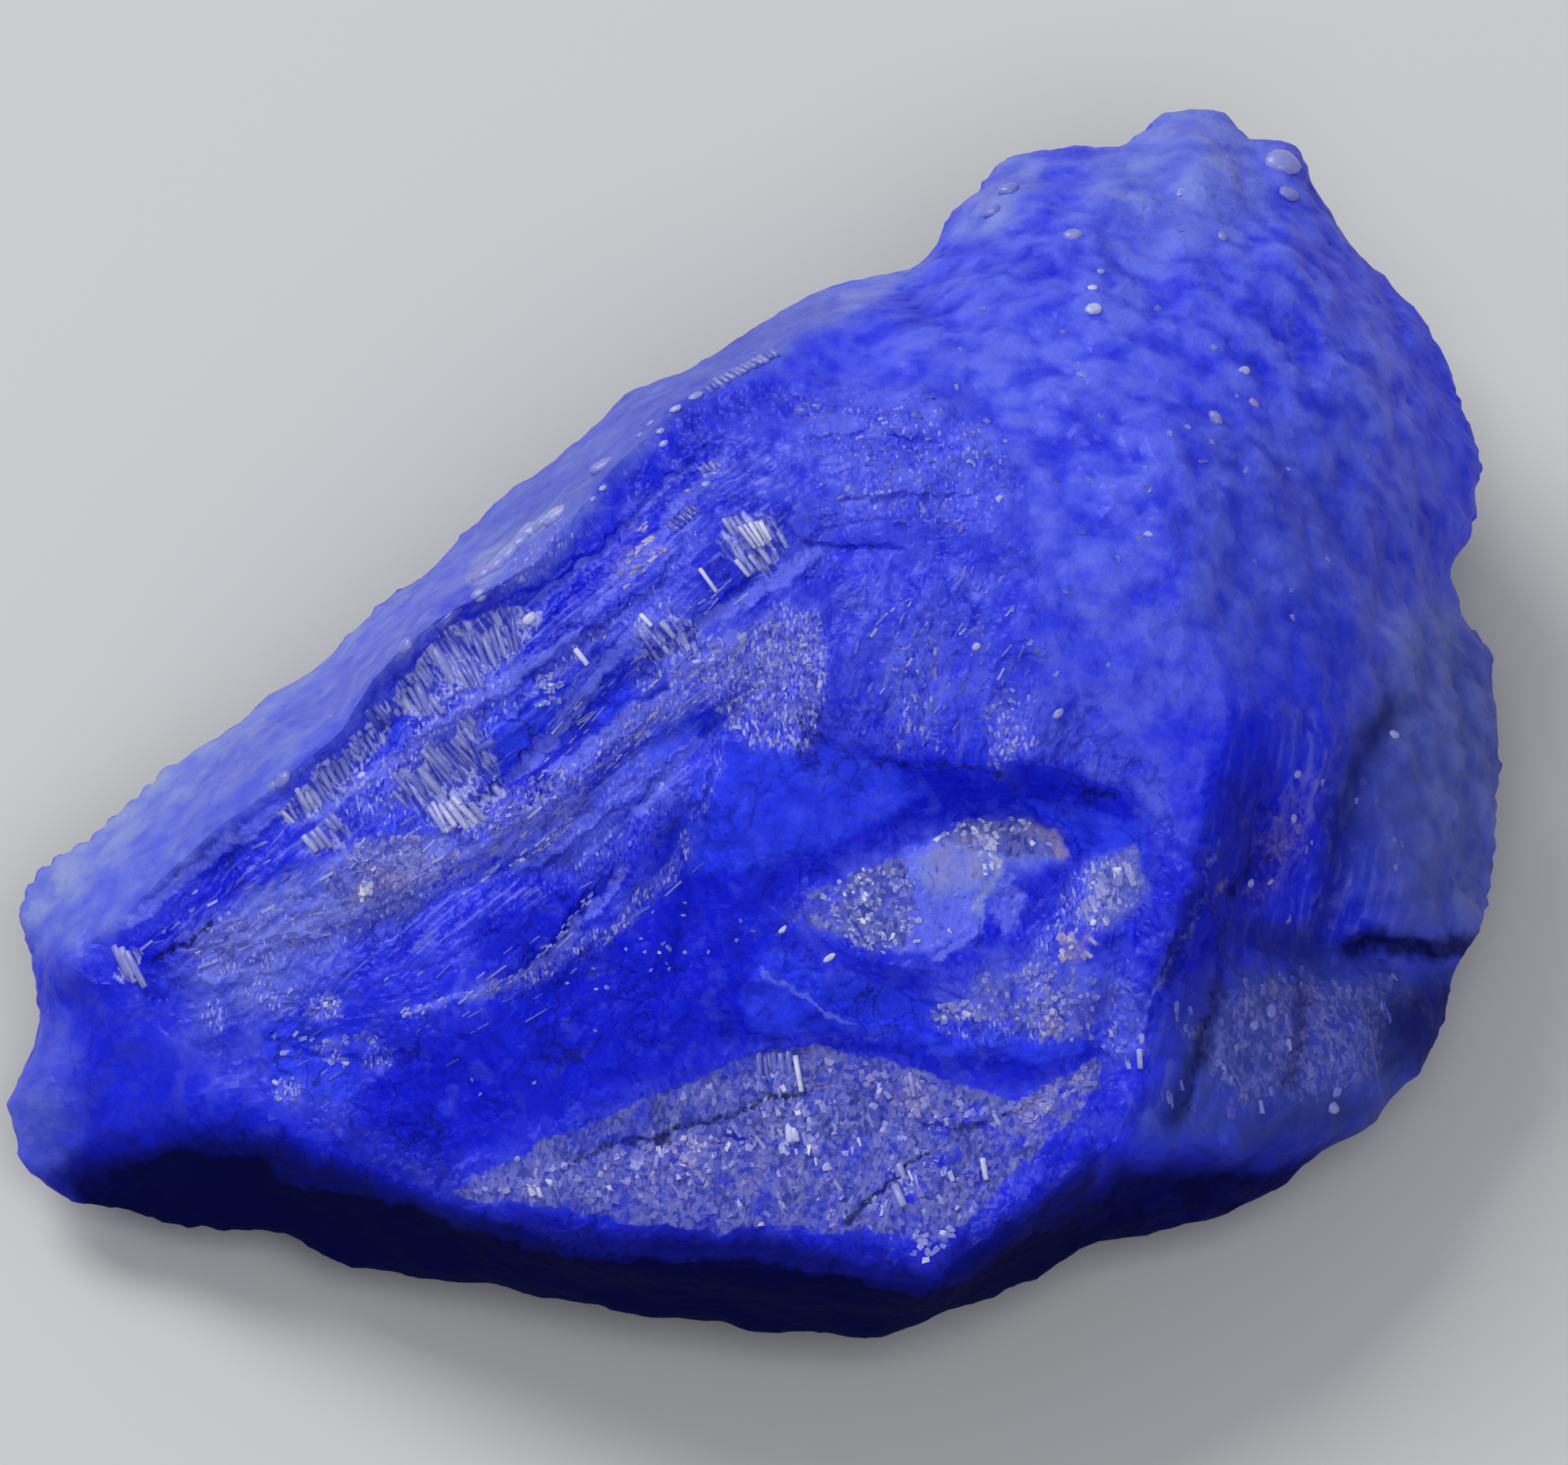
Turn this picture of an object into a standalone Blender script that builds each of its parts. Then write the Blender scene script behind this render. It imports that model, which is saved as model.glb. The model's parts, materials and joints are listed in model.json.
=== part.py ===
"""A rough blue sapphire: one broken fragment of a corundum crystal, lying on a small flat spot.

The stone is drawn as it shows to someone who looks down on it from VIEW_ELEVATION above the table.
Each landmark is (across, up, height) in millimetres: across and up lie in the plane that faces that
viewer, and height is above the table. The landmarks are joined into flat facets, the facets are
divided into small triangles, and ledges, troughs, lumps and pits are pressed into those.
The stone's frame has +X across, +Y away from the viewer and +Z up.
"""

from math import cos, exp, radians, sin

import bmesh
import bpy
from mathutils import Vector, noise
from mathutils.geometry import delaunay_2d_cdt, intersect_point_line

MM = 0.001
VIEW_ELEVATION = radians(56)

# The outline, from the upper corner of the blunt left end, over the top and back round
RIM = [
    (-24.2, -5.8, 4.6), (-23.6, -4.6, 5.0), (-19.4, -1.0, 6.2), (-14.1, 2.8, 7.4), (-9.9, 6.5, 8.4),
    (-5.1, 10.7, 9.4), (-2.9, 11.6, 9.8), (0.9, 14.0, 10.4), (3.9, 14.7, 11.2), (5.2, 16.5, 10.4),
    (6.7, 18.1, 9.6), (8.7, 18.8, 9.4), (10.7, 18.8, 9.2), (11.8, 20.0, 8.6), (13.9, 19.9, 8.4),
    (14.9, 18.9, 8.6), (16.4, 18.9, 8.0), (16.9, 17.5, 8.0), (18.2, 15.6, 7.6), (20.4, 13.3, 6.8),
    (21.7, 10.2, 6.2), (22.2, 8.6, 5.8), (22.0, 6.5, 5.8), (21.0, 5.1, 6.2), (21.7, 3.5, 5.8),
    (22.6, 2.6, 5.4), (22.8, -0.8, 5.0), (22.5, -3.3, 4.8), (22.2, -5.8, 4.4), (21.2, -7.2, 4.6),
    (20.8, -9.3, 3.8), (20.2, -10.9, 3.4), (17.9, -12.7, 3.2), (16.7, -13.2, 3.2), (15.2, -14.6, 3.0),
    (13.4, -15.3, 3.0), (10.2, -16.1, 3.2), (9.0, -16.4, 3.4), (7.2, -17.4, 3.4), (5.2, -18.1, 3.6),
    (3.2, -19.0, 3.6), (0.2, -18.8, 3.6), (-4.1, -18.2, 3.4), (-8.6, -17.5, 3.2), (-13.9, -16.8, 2.6),
    (-15.6, -15.8, 2.6), (-19.4, -15.5, 2.2), (-22.5, -14.7, 2.2), (-24.3, -13.3, 2.4), (-24.6, -12.0, 2.6),
    (-23.9, -10.3, 3.2), (-23.5, -8.8, 3.8), (-23.8, -7.2, 4.2),
]

# Edges where two faces of the stone meet
CREST = [
    (-22.5, -7.2, 7.0), (-20.9, -6.0, 8.4), (-17.6, -2.9, 10.8), (-15.6, -1.5, 12.2), (-13.8, 0.1, 13.4),
    (-12.8, 1.7, 14.2), (-10.9, 3.5, 15.2), (-7.6, 5.4, 16.4), (-5.8, 7.7, 16.6), (-3.6, 10.1, 16.0),
    (-0.2, 12.0, 15.6), (2.2, 13.2, 14.6),
]
TAIL_LIP = [
    (-22.5, -7.2, 7.0), (-21.1, -8.5, 6.9), (-18.8, -10.4, 6.8), (-16.6, -12.0, 6.8), (-14.1, -13.4, 6.9),
    (-10.8, -14.7, 7.2),
]
FRONT_LIP = [
    (-10.8, -14.7, 7.2), (-8.6, -15.5, 7.2), (-6.3, -16.4, 7.2), (-2.4, -16.8, 7.4), (1.4, -17.0, 7.8),
    (4.6, -17.4, 8.0), (7.2, -15.3, 8.6), (10.2, -13.0, 9.0), (11.9, -12.7, 8.6), (14.2, -13.0, 7.4),
    (16.2, -13.0, 5.6), (18.2, -11.9, 5.0),
]
LOWER_TERRACE = [
    (-10.8, -14.7, 7.2), (-7.3, -12.8, 8.2), (-4.1, -11.4, 8.8), (-0.9, -10.2, 9.2), (1.4, -10.0, 9.3),
    (4.6, -10.9, 9.2), (7.2, -11.7, 9.2), (9.9, -10.4, 9.8),
]
UPPER_TERRACE = [
    (0.1, -5.8, 11.8), (1.7, -4.5, 12.2), (3.9, -3.5, 12.5), (5.9, -2.8, 12.6), (7.4, -2.7, 12.6),
    (8.8, -3.5, 12.4), (9.3, -4.6, 12.1), (8.4, -6.3, 11.7), (6.2, -6.8, 11.6), (4.6, -7.4, 11.4),
    (2.4, -7.1, 11.4), (0.1, -5.8, 11.8),
]
RIGHT_RIB = [
    (14.2, 0.7, 15.0), (13.8, -1.8, 14.2), (13.1, -4.3, 13.2), (12.6, -6.3, 12.0), (11.9, -8.7, 10.9),
    (11.1, -10.8, 9.9), (10.2, -13.0, 9.0),
]
RIGHT_CLEFT = [(21.2, -7.2, 4.6), (19.0, -6.8, 6.0), (17.2, -6.6, 7.4), (15.4, -5.8, 9.2), (13.8, -6.4, 11.2)]
TAIL_BULGE = [(-22.9, -11.0, 4.6), (-19.8, -12.8, 4.6), (-16.2, -14.2, 4.6), (-12.6, -15.5, 4.8)]
WALL_TOP = [(4.4, -1.2, 14.2), (7.6, -0.8, 14.8), (10.4, -1.8, 14.2), (11.4, -3.4, 13.3)]
CRISP_EDGES = [CREST, TAIL_LIP, FRONT_LIP, LOWER_TERRACE, UPPER_TERRACE, RIGHT_RIB, WALL_TOP]

# Single high or low spots on the faces between those edges
SPOTS = [
    (-19.6, -7.8, 7.8), (-16.4, -6.6, 9.2), (-13.4, -4.2, 11.2), (-15.0, -9.6, 8.0), (-10.2, -8.8, 9.8),
    (-9.0, -1.6, 13.2), (-6.2, -5.2, 11.6), (-4.8, -9.0, 9.8), (-3.0, -0.6, 13.8), (-6.0, 2.6, 15.2),
    (-2.0, 5.8, 17.0), (0.4, 2.4, 15.6), (-1.4, -4.6, 12.0), (1.8, -1.4, 13.8), (-1.2, -7.6, 10.6),
    (3.6, -8.8, 10.0), (8.4, -9.0, 10.4), (10.6, -7.0, 11.6), (2.4, 8.4, 17.4), (1.4, -13.4, 8.7),
    (7.6, 6.2, 17.6), (5.4, 12.2, 15.8), (8.4, 3.0, 16.6), (12.2, 5.0, 17.0), (12.2, 10.8, 15.8),
    (9.6, 14.6, 14.6), (12.8, 17.4, 11.8), (15.6, 17.2, 10.6), (16.4, 13.6, 13.0), (15.0, 8.8, 14.6),
    (19.2, 9.6, 10.4), (19.4, 5.0, 9.4), (16.8, 4.6, 13.0), (20.0, 1.4, 9.2), (20.4, -2.4, 8.2),
    (17.4, 0.2, 12.0), (16.4, -3.2, 10.6), (20.6, -5.2, 6.8), (18.0, -9.2, 6.8), (15.2, -9.8, 8.4),
    (13.4, -8.6, 9.6), (7.0, 16.0, 12.8), (9.0, 16.8, 12.4), (-12.2, -11.6, 7.8),
]

# The hidden underside, as (across, back, height) in plan: a ring of belly facets round the resting face
BELLY = [
    (-13.5, -19.4, 0.9), (-19.6, -17.0, 1.0), (-20.4, -12.2, 1.8), (-15.5, -7.5, 2.4), (-8.0, -0.6, 2.8),
    (0.5, 5.4, 3.2), (9.2, 12.0, 3.7), (15.4, 11.8, 3.4), (18.2, 2.6, 2.9), (19.4, -6.0, 2.2),
    (17.0, -13.4, 1.5), (11.0, -18.4, 1.2), (3.0, -21.8, 1.3), (-5.0, -21.4, 1.1),
]
RESTING_FACE = [
    (-8.5, -15.0), (-5.0, -8.5), (1.5, -3.5), (8.0, -3.0), (11.0, -8.0), (9.0, -14.5), (2.0, -17.0),
    (-5.0, -17.8),
]

# Steps where one sheet of the crystal ends over the next: a line in the viewer's plane, how far the
# face drops on its right hand, and how far on that side it has risen again
STEP_WIDTH = 0.5
LEDGES = [
    ([(-18.1, -7.6), (-14.1, -6.3), (-10.9, -4.8), (-7.4, -2.4), (-4.2, 0.6), (-2.8, 1.8)], 0.45, 2.2),
    ([(-8.9, -8.3), (-7.2, -7.4), (-5.1, -6.0), (-3.0, -3.4), (-2.2, -0.4)], 0.35, 1.8),
    ([(-9.9, -5.3), (-5.9, -3.0), (-3.6, -0.8), (-0.9, 2.0)], 0.35, 1.6),
    ([(-20.9, -6.2), (-17.8, -3.2), (-14.0, -0.4), (-11.2, 2.6), (-8.0, 5.0), (-5.0, 7.6)], 0.35, 1.8),
    ([(0.4, 6.3), (2.2, 6.0), (3.7, 5.9), (6.0, 5.4)], 0.4, 1.6),
    ([(1.0, 4.4), (1.4, 2.0), (1.2, -1.0)], -0.35, 1.4),
    ([(-6.8, -12.4), (-3.6, -12.0), (-0.6, -12.2), (1.2, -11.0)], 0.3, 1.4),
    ([(0.4, -16.0), (3.0, -14.6), (5.6, -12.4)], -0.35, 1.6),
    ([(-12.6, -1.8), (-9.2, 0.2), (-6.6, 2.6)], 0.35, 1.4),
]

# Long hollows: a line in the viewer's plane, the half width and the depth
TROUGHS = [
    ([(-14.0, -1.2), (-11.4, 1.0), (-9.2, 2.7), (-7.2, 4.4)], 0.9, 0.4),
    ([(-14.2, -3.2), (-11.8, -2.2), (-9.6, -1.0)], 0.9, 0.45),
    ([(-9.2, -2.0), (-7.0, -0.2), (-5.0, 1.6)], 1.0, 0.45),
    ([(-21.2, -6.6), (-19.4, -5.2), (-17.9, -4.4)], 0.9, 0.5),
    ([(-3.4, -7.4), (-2.6, -5.4), (-3.0, -3.6)], 0.7, 0.4),
    ([(19.4, 1.4), (18.2, -0.4), (17.4, -2.0)], 0.9, 0.6),
    ([(13.8, 6.0), (14.8, 4.0), (15.6, 1.8)], 1.0, 0.45),
    ([(14.6, -0.8), (14.5, -3.0), (14.0, -5.6)], 0.8, 0.4),
    ([(11.9, 17.2), (11.0, 15.6), (11.4, 13.4)], 1.0, 0.5),
    ([(15.2, 17.6), (14.8, 15.6)], 0.8, 0.6),
    ([(-22.2, -9.2), (-21.4, -11.0), (-21.8, -13.0)], 1.0, 0.5),
]

# Rounded knobs and dents of the grainy end: a centre in the viewer's plane, the radius and the height
LUMPS = [
    (7.4, 17.2, 1.4, 0.5), (10.0, 17.6, 1.4, 0.45), (13.0, 18.4, 1.8, 0.7), (16.2, 18.0, 0.9, 0.7),
    (9.6, 12.4, 1.6, 0.35), (6.2, 14.6, 1.5, 0.4), (12.2, 8.0, 2.4, 0.4), (17.6, 11.0, 1.8, 0.45),
    (18.8, 7.2, 1.6, 0.5), (9.2, 8.2, 1.8, -0.35), (15.8, 12.6, 1.6, -0.45), (19.9, 3.4, 1.4, 0.4),
    (20.6, -1.0, 1.8, 0.4), (18.8, -4.2, 1.6, 0.4), (20.0, -8.6, 1.4, 0.4), (17.4, -10.6, 1.6, 0.35),
    (15.0, -7.2, 1.0, -0.4), (-21.8, -11.2, 1.4, 0.4), (-18.6, -12.6, 1.6, 0.35), (4.4, 9.8, 1.6, 0.3),
]

# Uneven fracture over the whole stone: shallow scoops that meet in low ridges, with a finer grain.
# It fades to a share of its depth within a short reach of the edges where faces meet.
SCOOP_SIZE = 3.4
SCOOP_DEPTH = 0.3
GRAIN_SIZE = 1.7
GRAIN_DEPTH = 0.16
CRISP_REACH = 1.6
CRISP_SHARE = 0.25

UPPER_EDGE = 1.2
LOWER_EDGE = 2.3
ROUNDING_PASSES = 2
HELD_REACH = 0.35
MATERIAL_COLOUR = (0.018, 0.03, 0.62, 1.0)
TO_VIEWER = Vector((0.0, -cos(VIEW_ELEVATION), sin(VIEW_ELEVATION)))


def plan_from_view(across, up, height):
    """The place in the stone's frame of a landmark that is drawn in the viewer's plane."""
    back = (up - height * cos(VIEW_ELEVATION)) / sin(VIEW_ELEVATION)
    return Vector((across, back, height))


def view_from_plan(point):
    """Across and up in the viewer's plane, of a point in the stone's frame."""
    return Vector((point.x, point.y * sin(VIEW_ELEVATION) + point.z * cos(VIEW_ELEVATION)))


class Landmarks:
    """Points of one side of the stone, numbered as they are met, with the edges that join them."""

    def __init__(self):
        self.flat = []
        self.solid = []
        self.edges = []
        self.numbers = {}

    def add(self, flat, solid):
        key = (round(flat[0], 3), round(flat[1], 3))
        if key not in self.numbers:
            self.numbers[key] = len(self.flat)
            self.flat.append(Vector(flat[:2]))
            self.solid.append(Vector(solid))
        return self.numbers[key]

    def add_line(self, points, closed=False):
        ids = [self.add(flat, solid) for flat, solid in points]
        ends = ids[1:] + ids[:1] if closed else ids[1:]
        self.edges.extend((a, b) for a, b in zip(ids, ends) if a != b)

    def facets(self):
        """Triangles of three solid points each, by a Delaunay mesh that keeps every stated edge."""
        result = delaunay_2d_cdt(self.flat, self.edges, [], 1, 1e-5)
        sources = result[3]
        if any(not source for source in sources):
            crossing = [tuple(round(c, 2) for c in v) for v, s in zip(result[0], sources) if not s]
            raise ValueError(f"edges of the stone cross at {crossing}")
        return [[self.solid[sources[corner][0]] for corner in face] for face in result[2]]


def upper_facets():
    side = Landmarks()

    def seen(points):
        return [(p, plan_from_view(*p)) for p in points]

    side.add_line(seen(RIM), closed=True)
    for line in (
        CREST, TAIL_LIP, FRONT_LIP, LOWER_TERRACE, UPPER_TERRACE, RIGHT_RIB, RIGHT_CLEFT, TAIL_BULGE,
        WALL_TOP,
    ):
        side.add_line(seen(line))
    for flat, solid in seen(SPOTS):
        side.add(flat, solid)
    return side.facets()


def lower_facets():
    side = Landmarks()
    rim = [plan_from_view(*p) for p in RIM]
    side.add_line([(p, p) for p in rim], closed=True)
    side.add_line([(p, p) for p in BELLY], closed=True)
    side.add_line([(p, (*p, 0.0)) for p in RESTING_FACE], closed=True)
    return side.facets()


def coarse_stone():
    """The closed stone of flat facets, as a bmesh in millimetres."""
    stone = bmesh.new()
    for facet in upper_facets() + lower_facets():
        stone.faces.new([stone.verts.new(corner) for corner in facet])
    bmesh.ops.remove_doubles(stone, verts=stone.verts, dist=0.01)
    bmesh.ops.recalc_face_normals(stone, faces=stone.faces)
    return stone


def rests(face):
    """True for the faces of the flat spot that the stone lies on."""
    return all(abs(vert.co.z) < 1e-4 for vert in face.verts)


def length_allowed(edge):
    faces = edge.link_faces
    if all(rests(face) for face in faces):
        return 4 * LOWER_EDGE
    seen = max(face.normal.dot(TO_VIEWER) for face in faces)
    return UPPER_EDGE if seen > 0 else LOWER_EDGE


def divide(stone):
    """Halves each edge that is too long, the longest first, until none is left."""
    factor = 16.0
    while factor > 1.0:
        factor = max(factor / 1.6, 1.0)
        for _ in range(6):
            stone.normal_update()
            long_edges = [e for e in stone.edges if e.calc_length() > factor * length_allowed(e)]
            if not long_edges:
                break
            bmesh.ops.subdivide_edges(stone, edges=long_edges, cuts=1)
            bmesh.ops.triangulate(stone, faces=stone.faces)


def ease(share):
    """0 to 1 with flat ends."""
    share = min(max(share, 0.0), 1.0)
    return share * share * (3 - 2 * share)


def nearest_on_line(point, line):
    """Distance to a line of points, the side (1 right hand, -1 left) and the share of the way along."""
    best = None
    for number, (start, end) in enumerate(zip(line, line[1:])):
        start, end = Vector(start), Vector(end)
        foot, share = intersect_point_line(point, start, end)
        share = min(max(share, 0.0), 1.0)
        foot = start.lerp(end, share)
        distance = (point - foot).length
        if best is None or distance < best[0]:
            turn = (end - start).cross(point - start)
            best = (distance, -1.0 if turn > 0 else 1.0, (number + share) / (len(line) - 1))
    return best


def drawn_relief(point):
    """How far ledges, troughs and lumps move a point of the upper side towards the viewer."""
    relief = 0.0
    for line, drop, run in LEDGES:
        distance, side, share = nearest_on_line(point, line)
        across_step = ease(0.5 + side * distance / (2 * STEP_WIDTH))
        risen = ease(side * distance / run)
        relief -= drop * across_step * (1 - risen) * ease(4 * min(share, 1 - share))
    for line, half_width, depth in TROUGHS:
        distance = nearest_on_line(point, line)[0]
        relief -= depth * ease(1 - distance / (1.5 * half_width))
    for across, up, radius, height in LUMPS:
        relief += height * ease(1 - (point - Vector((across, up))).length / (1.4 * radius))
    return relief


def fracture(place):
    """Uneven broken surface: a scoop in each small cell, with a finer grain on it."""
    share = noise.voronoi(place / SCOOP_SIZE)[0][0]
    scoop = SCOOP_DEPTH * (min(share, 1.0) ** 2 - 0.3)
    return scoop + GRAIN_DEPTH * noise.noise(place / GRAIN_SIZE)


def reach_to(point, lines):
    """Distance in the viewer's plane from a point to the nearest of some lines of landmarks."""
    return min(nearest_on_line(point, [p[:2] for p in line])[0] for line in lines)


def crispness(point):
    """What is left of the fracture near an edge where two faces meet."""
    return CRISP_SHARE + (1 - CRISP_SHARE) * ease(reach_to(point, CRISP_EDGES) / CRISP_REACH)


def roughen(stone):
    """Rounds the facets between the drawn edges, then presses the relief into them.

    The resting face stays flat.
    """
    resting = {vert for face in stone.faces if rests(face) for vert in face.verts}
    loose = [vert for vert in stone.verts if vert not in resting]
    drawn_edges = [*CRISP_EDGES, RIM + RIM[:1]]
    rounded = [vert for vert in loose if reach_to(view_from_plan(vert.co), drawn_edges) > HELD_REACH]
    for _ in range(ROUNDING_PASSES):
        bmesh.ops.smooth_vert(
            stone, verts=rounded, factor=0.5, use_axis_x=True, use_axis_y=True, use_axis_z=True
        )
    stone.normal_update()
    moves = []
    for vert in loose:
        facing = ease(2.5 * vert.normal.dot(TO_VIEWER))
        above_table = ease(vert.co.z / 1.5)
        drawn = view_from_plan(vert.co)
        move = TO_VIEWER * drawn_relief(drawn) * facing
        fade = crispness(drawn) if facing > 0 else 1.0
        move += vert.normal * fracture(vert.co) * above_table * fade
        moves.append((vert, move))
    for vert, move in moves:
        vert.co += move


def finish_mesh(stone):
    """Centres the stone over its origin and puts its lowest face on the table."""
    lows = [min(vert.co[axis] for vert in stone.verts) for axis in range(3)]
    highs = [max(vert.co[axis] for vert in stone.verts) for axis in range(3)]
    centre = Vector(((lows[0] + highs[0]) / 2, (lows[1] + highs[1]) / 2, lows[2]))
    print("drawing centre, mm", [round(c, 3) for c in centre])
    bmesh.ops.translate(stone, vec=-centre, verts=stone.verts)
    bmesh.ops.scale(stone, vec=(MM, MM, MM), verts=stone.verts)
    mesh = bpy.data.meshes.new("sapphire")
    stone.to_mesh(mesh)
    stone.free()
    return mesh, centre


def corundum():
    material = bpy.data.materials.new("blue_corundum")
    material.use_nodes = True
    shader = material.node_tree.nodes["Principled BSDF"]
    shader.inputs["Base Color"].default_value = MATERIAL_COLOUR
    shader.inputs["Roughness"].default_value = 0.45
    shader.inputs["Metallic"].default_value = 0.0
    return material


def main():
    for old in list(bpy.data.objects):
        bpy.data.objects.remove(old, do_unlink=True)
    stone = coarse_stone()
    print("flat facets", len(stone.faces))
    divide(stone)
    roughen(stone)
    print("triangles", len(stone.faces), "volume, cm3", round(stone.calc_volume() / 1000, 3))
    mesh, centre = finish_mesh(stone)
    mesh.materials.append(corundum())
    sapphire = bpy.data.objects.new("sapphire", mesh)
    bpy.context.scene.collection.objects.link(sapphire)
    sapphire["drawn_origin"] = list(-centre * MM)


main()
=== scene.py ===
import json
import math
import random

import bmesh
import bpy
import numpy as np
from mathutils import Matrix, Vector, noise
from mathutils.bvhtree import BVHTree

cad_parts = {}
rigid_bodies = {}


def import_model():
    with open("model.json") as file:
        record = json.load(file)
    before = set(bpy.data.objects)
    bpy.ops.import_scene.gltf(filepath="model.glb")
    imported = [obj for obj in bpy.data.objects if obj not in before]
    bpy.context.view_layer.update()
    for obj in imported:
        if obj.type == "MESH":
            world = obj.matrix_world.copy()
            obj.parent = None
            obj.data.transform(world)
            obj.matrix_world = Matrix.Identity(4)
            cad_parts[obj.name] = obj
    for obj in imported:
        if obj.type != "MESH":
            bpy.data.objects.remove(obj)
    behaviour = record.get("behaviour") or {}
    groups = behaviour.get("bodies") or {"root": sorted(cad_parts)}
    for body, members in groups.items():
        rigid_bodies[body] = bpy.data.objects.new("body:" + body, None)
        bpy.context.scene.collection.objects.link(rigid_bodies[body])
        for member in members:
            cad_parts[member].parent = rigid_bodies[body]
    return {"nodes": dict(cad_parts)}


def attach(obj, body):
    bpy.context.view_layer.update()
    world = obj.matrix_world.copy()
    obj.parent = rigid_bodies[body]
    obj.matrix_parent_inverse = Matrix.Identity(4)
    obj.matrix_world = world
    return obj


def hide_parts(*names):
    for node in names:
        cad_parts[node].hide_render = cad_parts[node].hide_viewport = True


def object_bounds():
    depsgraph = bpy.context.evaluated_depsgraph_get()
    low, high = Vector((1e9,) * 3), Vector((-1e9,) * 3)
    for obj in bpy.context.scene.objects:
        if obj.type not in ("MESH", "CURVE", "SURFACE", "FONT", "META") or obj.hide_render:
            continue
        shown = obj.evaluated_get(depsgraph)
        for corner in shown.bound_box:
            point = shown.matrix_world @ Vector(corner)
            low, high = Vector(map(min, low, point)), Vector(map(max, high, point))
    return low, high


for old in list(bpy.data.objects):
    bpy.data.objects.remove(old, do_unlink=True)
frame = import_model()
cadLow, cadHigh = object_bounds()
print("solid loaded")

# The camera of the photograph. Marks on the stone are drawn in its picture, which is
# 1988 by 1858 pixels with 40 of them to a millimetre of the stone.
shot = {
    "elevation": math.radians(56),
    "distance": 1.0,
    "pictureWidth": 0.0497,
    "aim": (0.000963, 0.003994, 0.0),
    "pixels": (1988, 1858),
}
toEye = np.array((0.0, -math.cos(shot["elevation"]), math.sin(shot["elevation"])))
upWay = np.array((0.0, math.sin(shot["elevation"]), math.cos(shot["elevation"])))
eye = np.array(shot["aim"]) + toEye * shot["distance"]
pixelsPerMetre = shot["pixels"][0] / shot["pictureWidth"]
middle = (shot["pixels"][0] / 2, shot["pixels"][1] / 2)


def inPicture(points):
    # where points of the stone stand in the picture, in pixels
    away = points - eye
    scale = pixelsPerMetre * shot["distance"] / -(away @ toEye)
    return np.stack((middle[0] + away[:, 0] * scale, middle[1] - (away @ upWay) * scale), axis=1)


def sightLine(u, v):
    # the way from the camera through a pixel of the picture
    across = Vector((1, 0, 0)) * ((u - middle[0]) / pixelsPerMetre / shot["distance"])
    up = Vector(upWay) * ((middle[1] - v) / pixelsPerMetre / shot["distance"])
    return (across + up - Vector(toEye)).normalized()


def ease(share):
    share = np.clip(share, 0.0, 1.0)
    return share * share * (3 - 2 * share)


def alongLine(place, line):
    # distance in pixels to a drawn line, +1 on its right hand or -1 on its left, share of the way along
    distance = np.full(len(place), 1e9)
    hand = np.zeros(len(place))
    share = np.zeros(len(place))
    for number, (start, end) in enumerate(zip(line, line[1:])):
        start = np.array(start, float)
        way = np.array(end, float) - start
        off = place - start
        part = np.clip(off @ way / (way @ way), 0, 1)
        gap = np.hypot(*(off - part[:, None] * way).T)
        nearer = gap < distance
        distance[nearer] = gap[nearer]
        hand[nearer] = np.where(way[0] * off[:, 1] - way[1] * off[:, 0] > 0, 1.0, -1.0)[nearer]
        share[nearer] = ((number + part) / (len(line) - 1))[nearer]
    return distance, hand, share


def insideOf(place, outline, feather):
    # 1 well inside a drawn outline, 0 outside it
    within = np.zeros(len(place), bool)
    u, v = place.T
    for (u1, v1), (u2, v2) in zip(outline, outline[1:] + outline[:1]):
        if v1 != v2:
            crossing = (v1 > v) != (v2 > v)
            within ^= crossing & (u < (u2 - u1) * (v - v1) / (v2 - v1) + u1)
    edge = alongLine(place, outline + outline[:1])[0]
    return ease(0.5 + np.where(within, edge, -edge) / (2 * feather))


def onStroke(place, line, halfWidth):
    distance, _, share = alongLine(place, line)
    return ease(1.4 - distance / halfWidth) * ease(8 * share + 0.3) * ease(8 * (1 - share) + 0.3)


def painted(place, marks):
    # how much of a finish is on each place: areas, strokes and spots, each with its own strength
    amount = np.zeros(len(place))
    for kind, strength, size, points in marks:
        if kind == "area":
            mark = insideOf(place, points, size)
        elif kind == "stroke":
            mark = onStroke(place, points, size)
        else:
            mark = sum(ease(1.5 - np.hypot(*(place - np.array(p)).T) / size) for p in points)
        amount = np.maximum(amount, strength * np.clip(mark, 0, 1))
    return amount


def noiseIn(points, size, seed=0.0):
    # smooth noise of a stated size in mm, between about -1 and 1
    shift = Vector((17.3 * seed, 5.1 * seed, 9.7 * seed))
    return np.array([noise.noise(Vector(p) / size + shift) for p in points])


def pushAt(point):
    # a small push along each axis, the same in every run
    return Vector([noise.noise(point + Vector((shift, 0.0, 0.0))) for shift in (0.0, 31.7, 67.3)])


def drawnNoise(place, angle, long, short, seed):
    # noise stretched along a way in the picture, given in degrees above the level
    turn = math.radians(angle)
    along = (place @ np.array((math.cos(turn), -math.sin(turn)))) / long
    across = (place @ np.array((math.sin(turn), math.cos(turn)))) / short
    return np.array([noise.noise(Vector((a, b, seed))) for a, b in zip(along, across)])


def scoopsIn(points, size, seed=0.0):
    # shallow scoops that meet in ridges, 0 at the bottom of each
    shift = Vector((7.7 * seed, 3.1 * seed, 1.9 * seed))
    depth = np.array([noise.voronoi(Vector(p) / size + shift)[0][0] for p in points])
    return np.minimum(depth, 1.0) ** 2


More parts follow.
